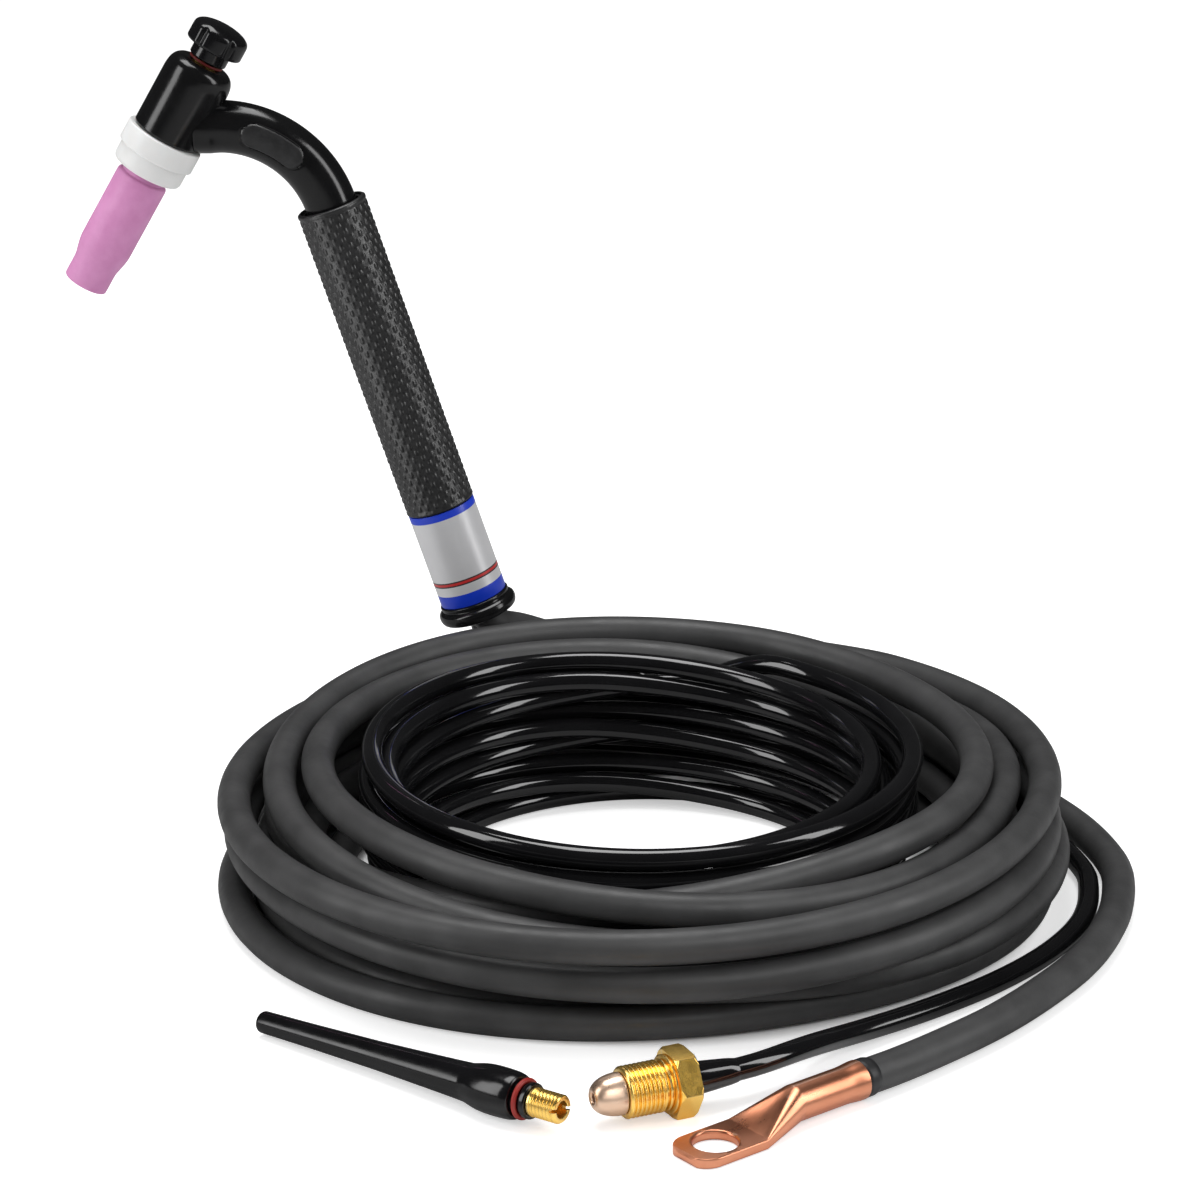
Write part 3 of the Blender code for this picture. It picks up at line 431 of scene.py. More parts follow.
# the cable in the coil, one row per turn: angle from +X (degrees), radius, height
CABLE_LAY = (
    ((0, 161, 5.5), (22, 161.5, 5.5), (45, 150, 5.5), (90, 136, 5.5), (180, 135.3, 5.5),
     (225, 135, 5.5), (250, 126.3, 5.5), (270, 119.5, 5.5), (290, 113, 5.5), (309, 115.5, 5.5),
     (322, 123.5, 5.5), (337, 135.5, 5.5), (349, 141, 5.5)),
    ((0, 143, 5.5), (13, 139, 5.8), (30, 128, 10.6), (46, 125, 14.1), (68, 124.5, 13.8),
     (82, 124, 9), (97, 124.5, 5.5), (180, 123.2, 5.5), (225, 123, 5.5), (250, 115, 5.5),
     (270, 108.5, 5.5), (290, 103.5, 5.5), (320, 104, 5.5)),
    ((0, 112.5, 5.5), (25, 112.5, 9), (50, 112.5, 13.6), (90, 112.5, 13.6), (106, 112.5, 7.5),
     (120, 109, 5.5), (150, 103.5, 5.5), (180, 101, 5.5), (205, 99.5, 6), (225, 99.5, 8),
     (250, 99, 12), (270, 98.5, 16.5), (315, 102, 17)),
    ((0, 113, 17.2), (50, 112, 25), (88, 112, 25), (106, 112, 19), (120, 112, 17.5),
     (180, 111, 17.5), (225, 109.5, 19), (250, 108, 22), (270, 107, 24.5), (290, 110.5, 23),
     (315, 113, 18)),
    ((0, 127.5, 16.7), (48, 125, 25), (66, 125, 25), (80, 125, 20.8), (97, 125, 17.2),
     (135, 124.5, 17), (180, 123.5, 17), (225, 121, 14), (270, 115, 14.5), (290, 121.5, 16),
     (315, 131, 13.5)),
    ((0, 141, 17), (45, 141, 17), (90, 139, 17), (135, 135, 21.5), (180, 133, 26),
     (225, 129.2, 22.5), (270, 127.2, 20), (315, 133.8, 25.5)),
    ((0, 136, 29), (45, 136, 29), (90, 136.5, 28.5), (135, 124, 28.5), (180, 121.5, 29),
     (200, 118.5, 28.3), (225, 108.5, 30.5), (250, 102, 33), (270, 101, 35), (293, 104, 38),
     (315, 114.5, 46.5), (335, 117, 49)),
    ((0, 112, 50), (16, 109, 48.8), (45, 109.5, 48), (68, 114.5, 49.4), (90, 118.8, 51.2),
     (115, 120, 53.2), (147, 118.3, 48.8), (180, 118, 43), (205, 119.6, 38.3), (225, 119.5, 35),
     (239, 116.5, 31.5), (270, 119, 28.5), (303, 121.5, 23.5), (335, 123.5, 27.2)),
    ((0, 124, 28.2), (20, 119, 29.8), (45, 112, 37), (72, 104.5, 47.7), (95, 106.5, 48.7),
     (121, 109.5, 47.4), (147, 109.5, 47), (171, 107.5, 46.8), (207, 105, 46), (225, 103.5, 45),
     (245, 107, 43), (270, 116, 40), (290, 115, 37.5), (315, 115, 35), (335, 118.5, 37.5)),
    ((0, 121, 39.8), (39, 131.5, 39), (60, 126.3, 35.6), (82, 121.8, 30.8), (105, 121.8, 30.8),
     (125, 126.5, 34.5), (148, 131, 36), (180, 133.3, 38.5), (205, 137, 37.5), (225, 138, 36),
     (250, 134.8, 35), (270, 132, 35), (302, 132, 37), (342, 133, 41)),
    ((0, 134.5, 42), (28, 140.3, 42.5), (40, 140.8, 42), (58, 137.2, 40.5)),
)
# the hose in the coil (metres): two columns of stacked turns after a start on the floor
HOSE_START = ((0, .1525), (22, .149), (45, .137), (70, .118), (100, .098))  # degrees, radius
HOSE_START_Z = 0.0036
HOSE_TURNS = 12
HOSE_ROW = 0.0087
HOSE_COLUMNS = (0.0810, 0.0893)
HOSE_ANGLES = (135, 215, 270, 350, 420)

# loose lengths, x, y, z from the drawing origin: tails run from the coil to the -Y ends,
# leads from the coil to the handle
CABLE_TAIL = (
    (158.5, -8.1, 5.5), (153.2, -29.1, 5.5), (141.6, -57.3, 5.5), (124.3, -84.3, 5.5),
    (106.6, -106.5, 5.5), (86.6, -126.4, 5.7), (73.6, -138.4, 5.9), (67.4, -143.4, 6.05))
HOSE_TAIL = (
    (151.4, 13.7, 3.6), (148.7, -7.8, 3.6), (141.9, -28.7, 3.6), (127.9, -51.9, 3.6),
    (110, -72.4, 3.6), (89.6, -91.1, 4.0), (76.3, -102.4, 4.6), (63.4, -113.3, 5.6),
    (53.2, -124.6, 7.9), (44.4, -133.8, 9.2), (37.4, -140.4, 9.52), (32.0, -144.4, 9.52),
    (26.9, -147.3, 9.52), (21.1, -149.9, 9.52))
CABLE_LEAD = (
    (49, 145, 40.4), (20, 150.6, 39.9), (-8, 152.4, 39.9), (-22, 153.3, 40.4),
    (-34, 152.6, 43.9), (-43.8, 148, 48.8), (-49.2, 138.6, 51.8))
HOSE_LEAD = (
    (32.4, 105.1, 45.8), (23.3, 109.7, 41.0), (14.2, 117.0, 36.3), (5.7, 124.9, 36.6),
    (-5.1, 132.8, 42.0), (-17.6, 141, 45.6), (-30, 141, 45.6), (-38, 140, 44.8),
    (-46, 141.3, 41.8), (-51, 144.2, 41.6), (-55.6, 146.8, 45.4), (-57.8, 147.2, 51.4))
# inside the handle (metres): offset along +Y from the handle axis, distance up it
CABLE_INNER = ((-0.0037, 0.003), (-0.0037, 0.014), (-0.0037, 0.030), (-0.0037, 0.060))
HOSE_INNER = ((0.0068, 0.001), (0.0058, 0.012), (0.0057, 0.030), (0.0057, 0.062))


def monotone_cubic(xs, ys, x):
    """Curve through (xs, ys) that doesn't overshoot between its points."""
    xs = np.asarray(xs, float)
    ys = np.asarray(ys, float)
    gap = np.diff(xs)
    rise = np.diff(ys) / gap
    slope = np.zeros(len(xs))
    slope[0], slope[-1] = rise[0], rise[-1]
    for i in range(1, len(xs) - 1):
        if rise[i - 1] * rise[i] > 0:
            w1 = 2 * gap[i] + gap[i - 1]
            w2 = gap[i] + 2 * gap[i - 1]
            slope[i] = (w1 + w2) / (w1 / rise[i - 1] + w2 / rise[i])
    i = np.clip(np.searchsorted(xs, x, side="right") - 1, 0, len(gap) - 1)
    t = (x - xs[i]) / gap[i]
    return ((1 + 2 * t) * (1 - t) ** 2 * ys[i] + t * (1 - t) ** 2 * gap[i] * slope[i]
            + t * t * (3 - 2 * t) * ys[i + 1] + t * t * (t - 1) * gap[i] * slope[i + 1])


def strand_through(lay):
    """(radius, height) at every station, from rows of (angle, radius, height)."""
    angles, radii, heights = zip(*lay)
    step = 360 / STATIONS
    stations = np.arange(int(angles[-1] // step) + 1) * step
    return np.column_stack([monotone_cubic(angles, radii, stations),
                            monotone_cubic(angles, heights, stations)])


def cable_turns():
    return strand_through([(angle + 360 * turn, r * MM, z * MM)
                           for turn, row in enumerate(CABLE_LAY) for angle, r, z in row])


def hose_turns():
    lay = [(angle, r, HOSE_START_Z) for angle, r in HOSE_START]
    for turn in range(HOSE_TURNS):
        row = turn // 2
        column = (1 - turn % 2) if row % 2 == 0 else turn % 2
        lean = -0.0062 * max(0.0, 1 - row / 2.0)            # the lowest rows lie closer in
        spread = 0.003 if row == HOSE_TURNS // 2 - 1 else 0.0   # the top row opens towards +X
        for offset in HOSE_ANGLES:
            angle = offset + 360 * turn
            s = math.sin(math.radians(angle))
            c = math.cos(math.radians(angle))
            uneven = 0.0010 * math.sin(2.1 * row + 0.9 * offset)
            radius = (HOSE_COLUMNS[column] + lean + (0.0008 if s > 0 else -0.0012) * s + uneven
                      + spread * c * (1 if column else -1))
            # the pile is higher on the +Y side; the outer column sits above the inner
            height = (HOSE_R + FLOOR_GAP
                      + row * HOSE_ROW * (1 + (0.045 if s > 0 else 0.115) * s)
                      + (0.0040 if column else 0.0) * (row > 0))
            lay.append((angle, radius, height))
    return strand_through(lay)


def settle(cable, hose):
    """Smooth both strands and push overlapping turns apart, station by station."""
    for _ in range(SETTLE_ROUNDS):
        for strand in (cable, hose):
            middle = (strand[:-2] + strand[2:]) * 0.5
            strand[1:-1] += (middle - strand[1:-1]) * SETTLE_SMOOTHING
        for station in range(STATIONS):
            cable_here = cable[station::STATIONS]
            hose_here = hose[station::STATIONS]
            split = len(cable_here)
            spots = np.vstack([cable_here, hose_here])
            radii = np.r_[np.full(split, CABLE_R), np.full(len(hose_here), HOSE_R)]
            apart = spots[:, None] - spots[None]
            distance = np.sqrt((apart ** 2).sum(-1)) + 1e-9
            overlap = np.clip(radii[:, None] + radii[None] + STRAND_GAP - distance, 0, None)
            np.fill_diagonal(overlap, 0)
            # the thinner strand gives way more
            weight = 1 / radii ** 2
            share = weight[:, None] / (weight[:, None] + weight[None])
            push = apart / distance[..., None] * (overlap * share)[..., None]
            spots += push.sum(1) * 0.5
            spots[:, 1] = np.maximum(spots[:, 1], radii + FLOOR_GAP)
            cable[station::STATIONS] = spots[:split]
            hose[station::STATIONS] = spots[split:]
    return cable, hose


def in_world(strand):
    angles = 2 * math.pi * np.arange(len(strand)) / STATIONS
    return np.column_stack([O.x + strand[:, 0] * np.cos(angles),
                            O.y + COIL_Y + strand[:, 0] * np.sin(angles), strand[:, 1]])


def fine_path(points, floor):
    """Smooth curve through points, evenly sampled, lightly relaxed and kept above floor."""
    given = np.asarray(points, float)
    ends = np.vstack([2 * given[0] - given[1], given, 2 * given[-1] - given[-2]])
    spans = []
    for i in range(1, len(ends) - 2):
        p0, p1, p2, p3 = ends[i - 1:i + 3]
        count = max(3, int(np.linalg.norm(p2 - p1) / 0.0008))
        t = (np.arange(count) / count)[:, None]
        spans.append(0.5 * ((2 * p1) + (p2 - p0) * t + (2 * p0 - 5 * p1 + 4 * p2 - p3) * t * t
                            + (3 * p1 - p0 - 3 * p2 + p3) * t ** 3))
    path = np.vstack(spans + [given[-1:]])
    length = np.r_[0, np.cumsum(np.linalg.norm(np.diff(path, axis=0), axis=1))]
    even = np.linspace(0, length[-1], int(length[-1] / PATH_SPACING) + 1)
    path = np.column_stack([np.interp(even, length, path[:, k]) for k in range(3)])
    for _ in range(6):
        path[1:-1] += ((path[:-2] + path[2:]) * 0.5 - path[1:-1]) * 0.5
    path[:, 2] = np.maximum(path[:, 2], floor)
    return path


def sweep_rings(path, radius, sides):
    """Rings square to the path with the least twist."""
    tangents = np.gradient(path, axis=0)
    tangents /= np.linalg.norm(tangents, axis=1)[:, None]
    up = np.array(UP, float)
    angles = np.arange(sides) * 2 * math.pi / sides
    cosines, sines = np.cos(angles)[:, None], np.sin(angles)[:, None]
    rings = []
    for point, along in zip(path, tangents):
        up = up - along * (up @ along)
        up /= np.linalg.norm(up)
        rings.append(point + radius * (cosines * up + sines * np.cross(along, up)))
    return rings


def make_lead(name, tail, strand, lead, inner, radius, sides, gap):
    """One unbroken lead: loose tail, coil, loose lead and the part inside the handle."""
    points = [tuple(Vector(p) * MM + O) for p in reversed(tail)]
    points += [tuple(p) for p in in_world(strand)]
    points += [tuple(Vector(p) * MM + O) for p in lead]
    points += [tuple(GROMMET_END + SIDE * across + HANDLE_DIR * along)
               for across, along in inner]
    path = fine_path(points, radius + gap)
    return mesh_from_rings(name, sweep_rings(path, radius, sides),
                           start_cap=path[0], end_cap=path[-1], sharp=50)


cable_strand, hose_strand = settle(cable_turns(), hose_turns())
cable = make_lead("cable_jacket", CABLE_TAIL, cable_strand, CABLE_LEAD, CABLE_INNER,
                  radius=CABLE_R, sides=24, gap=2 * FLOOR_GAP)
place(cable, "base", "cable_rubber", "power_cable", CABLE_LOOK)
hose = make_lead("hose_skin", HOSE_TAIL, hose_strand, HOSE_LEAD, HOSE_INNER,
                 radius=HOSE_R, sides=20, gap=FLOOR_GAP)
place(hose, "base", "hose_vinyl", "gas_hose", HOSE_LOOK)

# ============================================================ head
# All profiles from here on are (r, z[, fillet]) in mm, z along the named frame.
SHORT_CAP = [
    (0, 36.0), (3.7, 36.0), (3.7, 30.6), (6.6, 30.6, 0.3), (6.8, 31.0, 0.2), (6.8, 34.9, 0.35),
    (9.8, 34.9, 0.6), (10.4, 35.7, 0.8), (10.4, 38.2), (10.4, 40.4, 1.2), (9.8, 41.7, 1.2),
    (8.4, 42.75, 1.0), (6.4, 43.45, 1.0), (4.2, 43.9, 1.0), (2.0, 44.08), (0, 44.12)]
BARREL = [
    (5.4, 24.2), (5.4, 28.6, 0.3), (7.6, 29.0, 0.5), (9.2, 28.75, 1.0), (10.8, 27.6, 1.2),
    (11.85, 25.6, 1.2), (12.25, 22.8, 1.5), (12.25, 12.0), (12.25, 0.6, 0.3), (11.9, 0.02, 0.3),
    (8.4, 0.02), (8.4, 24.2)]
INSULATOR = [
    (12.0, -14.8, 0.9), (12.75, -13.6, 0.9), (12.75, -8.0, 0.25), (13.9, -7.9, 0.5),
    (13.9, -0.3, 0.7), (5.3, -0.3), (5.3, -8.4), (7.2, -9.4), (7.2, -14.8)]
NOZZLE_SEAT = -15.1
# z measured from the nozzle seat
NOZZLE = [
    (7.1, 0), (7.75, 0, 0.1), (7.75, -1.9, 0.15), (9.1, -2.3, 0.35), (9.35, -3.1, 0.5),
    (9.35, -31.0, 1.5), (8.7, -34.4, 1.8), (7.9, -37.6, 1.6), (7.9, -45.4, 0.4),
    (7.4, -45.9, 0.4), (5.9, -45.9, 0.3), (5.55, -45.3, 0.3), (5.55, -34.0), (6.4, -24.0),
    (7.1, -9.0)]


def short_cap_shape(angles, r, z):
    """Six grooves down the rim of the button, none on its stem."""
    if r < 7.0 and z < 36:
        return r
    fade = smoothstep(34.6, 35.4, z) * (1 - smoothstep(40.6, 43.0, z))
    groove = np.zeros_like(angles)
    for centre in np.arange(6) * math.pi / 3:
        away = np.abs((angles - centre + math.pi) % (2 * math.pi) - math.pi)
        groove = np.maximum(groove, np.exp(-(away / 0.095) ** 2))
    return r - 0.80 * fade * groove


short_cap = lathe("short_cap_button", SHORT_CAP, HEAD, 180, shape=short_cap_shape, sharp=45)
place(short_cap, "back_cap", "moulded_cover", "short_back_cap", BACK_CAP_LOOK)
cap_seal = torus("cap_seal_ring", radius=5.75, minor=0.50, z=29.75, matrix=HEAD)
place(cap_seal, "back_cap", "seal_red", "cap_oring", SHADED_SEAL_LOOK)
barrel = lathe("head_barrel", BARREL, HEAD, 144, steps=6)
place(barrel, "head", "moulded_cover", "head_cover", COVER_LOOK)
insulator = lathe("insulator_ring", INSULATOR, HEAD, 144, sharp=50, steps=5)
place(insulator, "head", "insulator_white", "insulator", INSULATOR_LOOK)
nozzle = lathe("nozzle_cup", [(r, NOZZLE_SEAT + z, *fillet) for r, z, *fillet in NOZZLE],
               HEAD, 128, sharp=50, steps=5)
place(nozzle, "nozzle_body", "alumina_pink", "nozzle", ALUMINA_LOOK)

# ============================================================ neck
# a bent tube: level from the head, an arc, then down into the handle
GRIP_START, GRIP_END = 43.6, 159.4      # mm up the handle
NECK_ARC_R = 0.0404
NECK_R = 0.00915
NECK_STEPS = 150
NECK_SIDES = 144
NECK_SUNK = 0.0085              # the level part stops this far from the head axis
NECK_IN_GRIP = 0.022
TOP = GROMMET_END + HANDLE_DIR * (GRIP_END * MM)
RIGHT = Vector((HANDLE_DIR.z, 0, -HANDLE_DIR.x))
ARC_CENTRE = TOP - RIGHT * NECK_ARC_R
ARC_END_ANGLE = math.atan2(RIGHT.z, RIGHT.x)
ARC_LEN = NECK_ARC_R * (math.pi / 2 - ARC_END_ANGLE)
ARC_START = ARC_CENTRE + UP * NECK_ARC_R
ROOT = Vector((HEAD_SEAT.x + HEAD_DIR.x * (ARC_START.z - HEAD_SEAT.z) / HEAD_DIR.z, TORCH_Y,
               ARC_START.z))
LEVEL_LEN = ARC_START.x - ROOT.x - NECK_SUNK
# blank oval pad on the -Y side
PAD_ALONG = ARC_LEN * 0.400
PAD_HALF_WIDTH = 0.0047
PAD_HALF_STRAIGHT = 0.0119 - PAD_HALF_WIDTH


def arc_out(share):
    """Outward direction at a share of the arc, from 0 at its start to 1 at the handle."""
    angle = math.pi / 2 + (ARC_END_ANGLE - math.pi / 2) * share
    return Vector((math.cos(angle), 0, math.sin(angle)))


def pad_distance(along, across):
    """Distance outside the pad's outline; negative on the pad."""
    overrun = max(abs(along - PAD_ALONG) - PAD_HALF_STRAIGHT, 0.0)
    return np.hypot(overrun, across) - PAD_HALF_WIDTH


def make_neck():
    angles = np.arange(NECK_SIDES) * 2 * math.pi / NECK_SIDES     # 0 faces -Y
    across = ((angles + math.pi) % (2 * math.pi) - math.pi) * NECK_R
    total = LEVEL_LEN + ARC_LEN + NECK_IN_GRIP
    rings = []
    for i in range(NECK_STEPS + 1):
        along = -LEVEL_LEN + total * i / NECK_STEPS               # from the arc's start
        if along < 0:
            centre = ARC_START + Vector((along, 0, 0))
            out = UP
        elif along <= ARC_LEN:
            out = arc_out(along / ARC_LEN)
            centre = ARC_CENTRE + out * NECK_ARC_R
        else:
            out = RIGHT
            centre = TOP - HANDLE_DIR * (along - ARC_LEN)
        # slight flare at the wall of the head barrel
        wall = (centre - ROOT).x - 0.0123 / HEAD_DIR.z
        radii = NECK_R + 0.0003 * math.exp(-max(wall, 0.0) / 0.0015)
        # a groove round the pad, and the pad a little raised
        outside = pad_distance(along, across)
        radii = (radii - 0.00042 * np.exp(-(outside / 0.00040) ** 2)
                 + 0.00012 * smoothstep(0.0, -0.0007, outside))
        around = (np.cos(angles)[:, None] * np.array((0, -1.0, 0))
                  + np.sin(angles)[:, None] * np.array(out))
        rings.append(np.array(centre)[None] + radii[:, None] * around)
    neck = mesh_from_rings("neck_skin", rings, start_cap=rings[0].mean(0),
                           end_cap=rings[-1].mean(0), sharp=50)
    neck.data.materials.append(COVER_LOOK)
    neck.data.materials.append(PAD_LOOK)
    for face in neck.data.polygons:
        offset = face.center - ARC_CENTRE
        along = (math.pi / 2 - math.atan2(offset.z, offset.x)) * NECK_ARC_R
        outward = math.hypot(offset.x, offset.z) - NECK_ARC_R
        around = math.atan2(outward, -(face.center.y - TORCH_Y)) * NECK_R
        if pad_distance(along, around) < -0.0004 and face.center.y < TORCH_Y:
            face.material_index = 1
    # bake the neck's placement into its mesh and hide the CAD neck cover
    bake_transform(neck)
    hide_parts("neck_cover")


make_neck()

# ============================================================ handle
GRIP_PITCH = 2.6
GRIP_R = 12.55
GRIP_PROFILE = (
    [(11.3, GRIP_START), (11.9, GRIP_START), (12.28, GRIP_START + 0.15)]
    + [(GRIP_R, float(z)) for z in np.arange(GRIP_START + 0.5, GRIP_END - 0.5, GRIP_PITCH / 7)]
    + [(12.28, GRIP_END - 0.25), (11.9, GRIP_END), (11.3, GRIP_END)])
# pairs of close stations keep the edges between the colour bands crisp
LABEL = [
    (11.3, 7.4), (12.2, 7.4), (12.25, 7.5), (12.25, 12.1), (12.25, 12.12), (12.25, 15.6),
    (12.25, 15.62), (12.25, 16.1), (12.25, 16.12), (12.25, 17.0), (12.25, 17.02),
    (12.25, 17.5), (12.25, 17.52), (12.25, 40.7), (12.25, 40.72), (12.25, 43.2), (12.2, 43.3),
    (11.3, 43.3)]
FOIL, BLUE, RED, INK = range(4)
# upper end of each band, its material
LABEL_BANDS = ((12.11, BLUE), (15.61, FOIL), (16.11, INK), (17.01, RED), (17.51, INK),
               (40.71, FOIL), (math.inf, BLUE))
BOOT = [
    (11.2, 11.6), (10.2, 11.6), (10.2, 5.0, 1.0), (10.9, 1.4, 1.0), (12.2, 0.0, 0.8),
    (13.7, 0.5, 1.2), (14.45, 2.3, 1.4), (14.15, 4.2, 1.0), (13.1, 5.0, 0.6),
    (12.45, 5.25, 0.2), (12.35, 5.75, 0.15), (12.75, 5.95, 0.25), (12.8, 6.9, 0.3),
    (12.3, 7.15, 0.1), (11.2, 7.15)]


def grip_shape(angles, r, z):
    """Small raised studs in staggered rows, fading out at both ends."""
    if r < 12.3:
        return r
    edge = (smoothstep(GRIP_START + 0.5, GRIP_START + 1.8, z)
            * (1 - smoothstep(GRIP_END - 2.2, GRIP_END - 1.0, z)))
    wave = np.cos(24 * angles) * math.cos(math.pi * z / GRIP_PITCH)
    stud = smoothstep(0.05, 0.82, np.maximum(wave, 0.0))
    return r - 0.30 * edge * (1 - stud)


grip = lathe("grip_dimpled", GRIP_PROFILE, HANDLE, 384, shape=grip_shape, sharp=60, steps=2)
place(grip, "base", "grip_rubber", "grip_sleeve", GRIP_LOOK)

label = lathe("label_wrap", LABEL, HANDLE, 144, sharp=60)
for look in (FOIL_LOOK, BLUE_LOOK, RED_LOOK, INK_LOOK):
    label.data.materials.append(look)
handle_inverse = HANDLE.inverted()
for face in label.data.polygons:
    height = (handle_inverse @ face.center).z / MM
    face.material_index = next(index for end, index in LABEL_BANDS if height < end)
place(label, "base", "label_silver", "label_band")

boot = lathe("handle_boot", BOOT, HANDLE, 144, sharp=45, steps=5)
place(boot, "base", "moulded_cover", "handle_grommet", COVER_LOOK)

# ============================================================ gas fitting
NIPPLE = [
    (1.5, 4.5), (1.5, 0.55, 0.25), (1.9, 0.1, 0.3), (2.6, 0.0, 0.4), (3.5, 0.45, 0.5),
    (4.4, 1.35, 0.7), (5.2, 2.6, 0.9), (5.8, 4.1, 1.0), (6.2, 5.8, 1.0), (6.4, 7.6, 1.0),
    (6.4, 9.0, 0.25), (4.55, 9.0), (4.55, 31.4), (3.2, 31.8), (2.9, 39.0), (1.5, 39.0)]
HEX_R = 19.05 / 2               # centre to flat
HEX_START, HEX_END = 24.2, 31.2
NUT_PITCH = 1.41
NUT_PROFILE = (
    [(4.9, 9.3), (7.0, 9.3), (7.35, 9.45), (7.6, 9.75)]
    + [(7.87, float(z)) for z in np.arange(10.0, 20.75, NUT_PITCH / 12)]
    + [(7.5, 20.9), (6.9, 21.1), (6.9, 21.7), (7.7, 21.9), (7.85, 22.1), (7.85, 22.5),
       (7.6, 22.7), (7.25, 22.8), (7.25, 23.1), (8.5, 23.2), (8.9, 23.4), (8.9, 23.9),
       (8.6, 24.15), (9.3, HEX_START)]
    + [(11.5, HEX_START + rise) for rise in
       (0.02, 0.15, 0.3, 0.5, 0.7, 0.9, 1.1, 2.0, 3.5, 5.0, 5.9, 6.1, 6.3, 6.5, 6.7, 6.85, 6.98)]
    + [(9.3, HEX_END), (6.2, HEX_END), (5.4, 30.9), (4.9, 30.3)])
HOSE_SLEEVE = [
    (3.6, 31.6), (4.75, 31.6, 0.3), (5.0, 32.6, 0.6), (4.85, 35.5, 1.0), (4.45, 40.0, 1.5),
    (4.05, 44.2, 1.0), (3.62, 46.6, 0.5), (3.3, 46.6), (3.3, 32.4)]


def nut_shape(angles, r, z):
    """Thread at the tip end; hexagon with chamfered corners at the hose end."""
    if z < 21.0 and 7.2 < r < 8.2:
        fade = smoothstep(9.8, 10.9, z) * (1 - smoothstep(19.9, 20.7, z))
        return r - 0.80 * fade * thread_depth(z, angles, NUT_PITCH)
    if r > 10.9:
        flat = HEX_R / np.cos((angles % (math.pi / 3)) - math.pi / 6)
        cone = np.minimum(12.0, 10.15 + np.minimum(z - HEX_START, HEX_END - z))
        # smooth minimum of the two, over a width in mm
        width = 0.12
        share = np.clip(0.5 + 0.5 * (cone - flat) / width, 0, 1)
        return cone * (1 - share) + flat * share - width * share * (1 - share)
    return r


nipple = lathe("nipple_nose", NIPPLE, FIT, 112, steps=5)
place(nipple, "base", "bronze", "ball_nipple", BRONZE_LOOK)
nut = lathe("nut_threaded", NUT_PROFILE, FIT, 240, shape=nut_shape, sharp=32, steps=2)
soften(nut, FIT, 9.9, 20.85)
place(nut, "nut", "brass", "gas_nut", BRASS_LOOK)
sleeve = lathe("hose_end_swell", HOSE_SLEEVE, FIT, 72, sharp=60, steps=5)
place(sleeve, "base", "hose_vinyl", "hose_sleeve", HOSE_LOOK)

# ============================================================ cable lug
# mm, x from the tip: a flat tongue turns into a round tube between two stations
TONGUE_END, TUBE_START = 24.3, 41.5
TONGUE_HALF_WIDTH = 9.0
TIP_HALF_WIDTH = 3.0
TIP_ROUNDING = 6.6
TONGUE_HALF_THICK = 1.55
TONGUE_CORNER = 0.55
TONGUE_Z = 1.66
LUG_CORNER_POINTS = 24
LUG_STATIONS = [
    0.0, 0.12, 0.3, 0.6, 0.9, 1.3, 1.8, 2.4, 3.0, 3.6, 4.2, *np.linspace(5.0, 23.6, 28),
    24.0, 24.25, 24.3, *np.linspace(24.6, 41.5, 44), *np.linspace(42.2, 60, 22),
    *np.linspace(61, 66.4, 9), 66.8, 67.0]
LUG_MOUTH = ((0.955, 0.12), (0.90, 0.05), (0.86, -0.3), (0.84, -1.2), (0.80, -8.0))
LUG_HOLE = [
    (0, -3.0), (8.6, -3.0), (7.35, 0.0), (6.95, 0.28), (6.77, 0.62), (6.75, 1.0), (6.75, 2.3),
    (6.78, 2.62), (6.97, 2.98), (7.4, 3.26), (8.8, 6.2), (0, 6.2)]
LUG_HOLE_X = 0.0118
LUG_COLLAR = [
    (4.9, 66.4), (5.2, 66.4), (5.2, 67.3), (5.72, 67.4, 0.2), (5.95, 68.1, 0.4),
    (5.95, 70.5, 0.5), (5.65, 71.5, 0.3), (5.5, 71.9), (4.9, 71.9)]


def lug_ring(x):
    """Rounded rectangle that turns into a circle."""
    t = min(max((x - TONGUE_END) / (TUBE_START - TONGUE_END), 0.0), 1.0)
    half_width = TONGUE_HALF_WIDTH
    if x < TIP_ROUNDING:
        bulge = math.sqrt(max(0.0, 1 - ((TIP_ROUNDING - x) / TIP_ROUNDING) ** 2))
        half_width = TIP_HALF_WIDTH + (TONGUE_HALF_WIDTH - TIP_HALF_WIDTH) * bulge
    edge = min(1.0, 0.35 + x / 0.9) if x < 0.6 else 1.0
    tube_radius = 5.65 + 0.45 * float(smoothstep(60.0, 66.6, x))
    flat_y = (half_width - TONGUE_CORNER) * (1 - t)
    flat_z = (TONGUE_HALF_THICK * edge - TONGUE_CORNER * edge) * (1 - t)
    radius = TONGUE_CORNER * edge * (1 - t) + tube_radius * t
    middle = TONGUE_Z * (1 - t) + LUG_TUBE_Z * t
    ring = []
    for sy, sz, start in ((1, 1, 0.0), (-1, 1, math.pi / 2), (-1, -1, math.pi),
                          (1, -1, 1.5 * math.pi)):
        for k in range(LUG_CORNER_POINTS):
            a = start + math.pi / 2 * k / (LUG_CORNER_POINTS - 1)
            ring.append((x, sy * flat_y + radius * math.cos(a),
                         middle + sz * flat_z + radius * math.sin(a)))
        if sy == sz:            # points across the upper and lower flats
            for k in range(1, 12):
                ring.append((x, sy * (flat_y + 0.004) * (1 - k / 6),
                             middle + sz * (flat_z + radius)))
    return np.array(ring) * MM


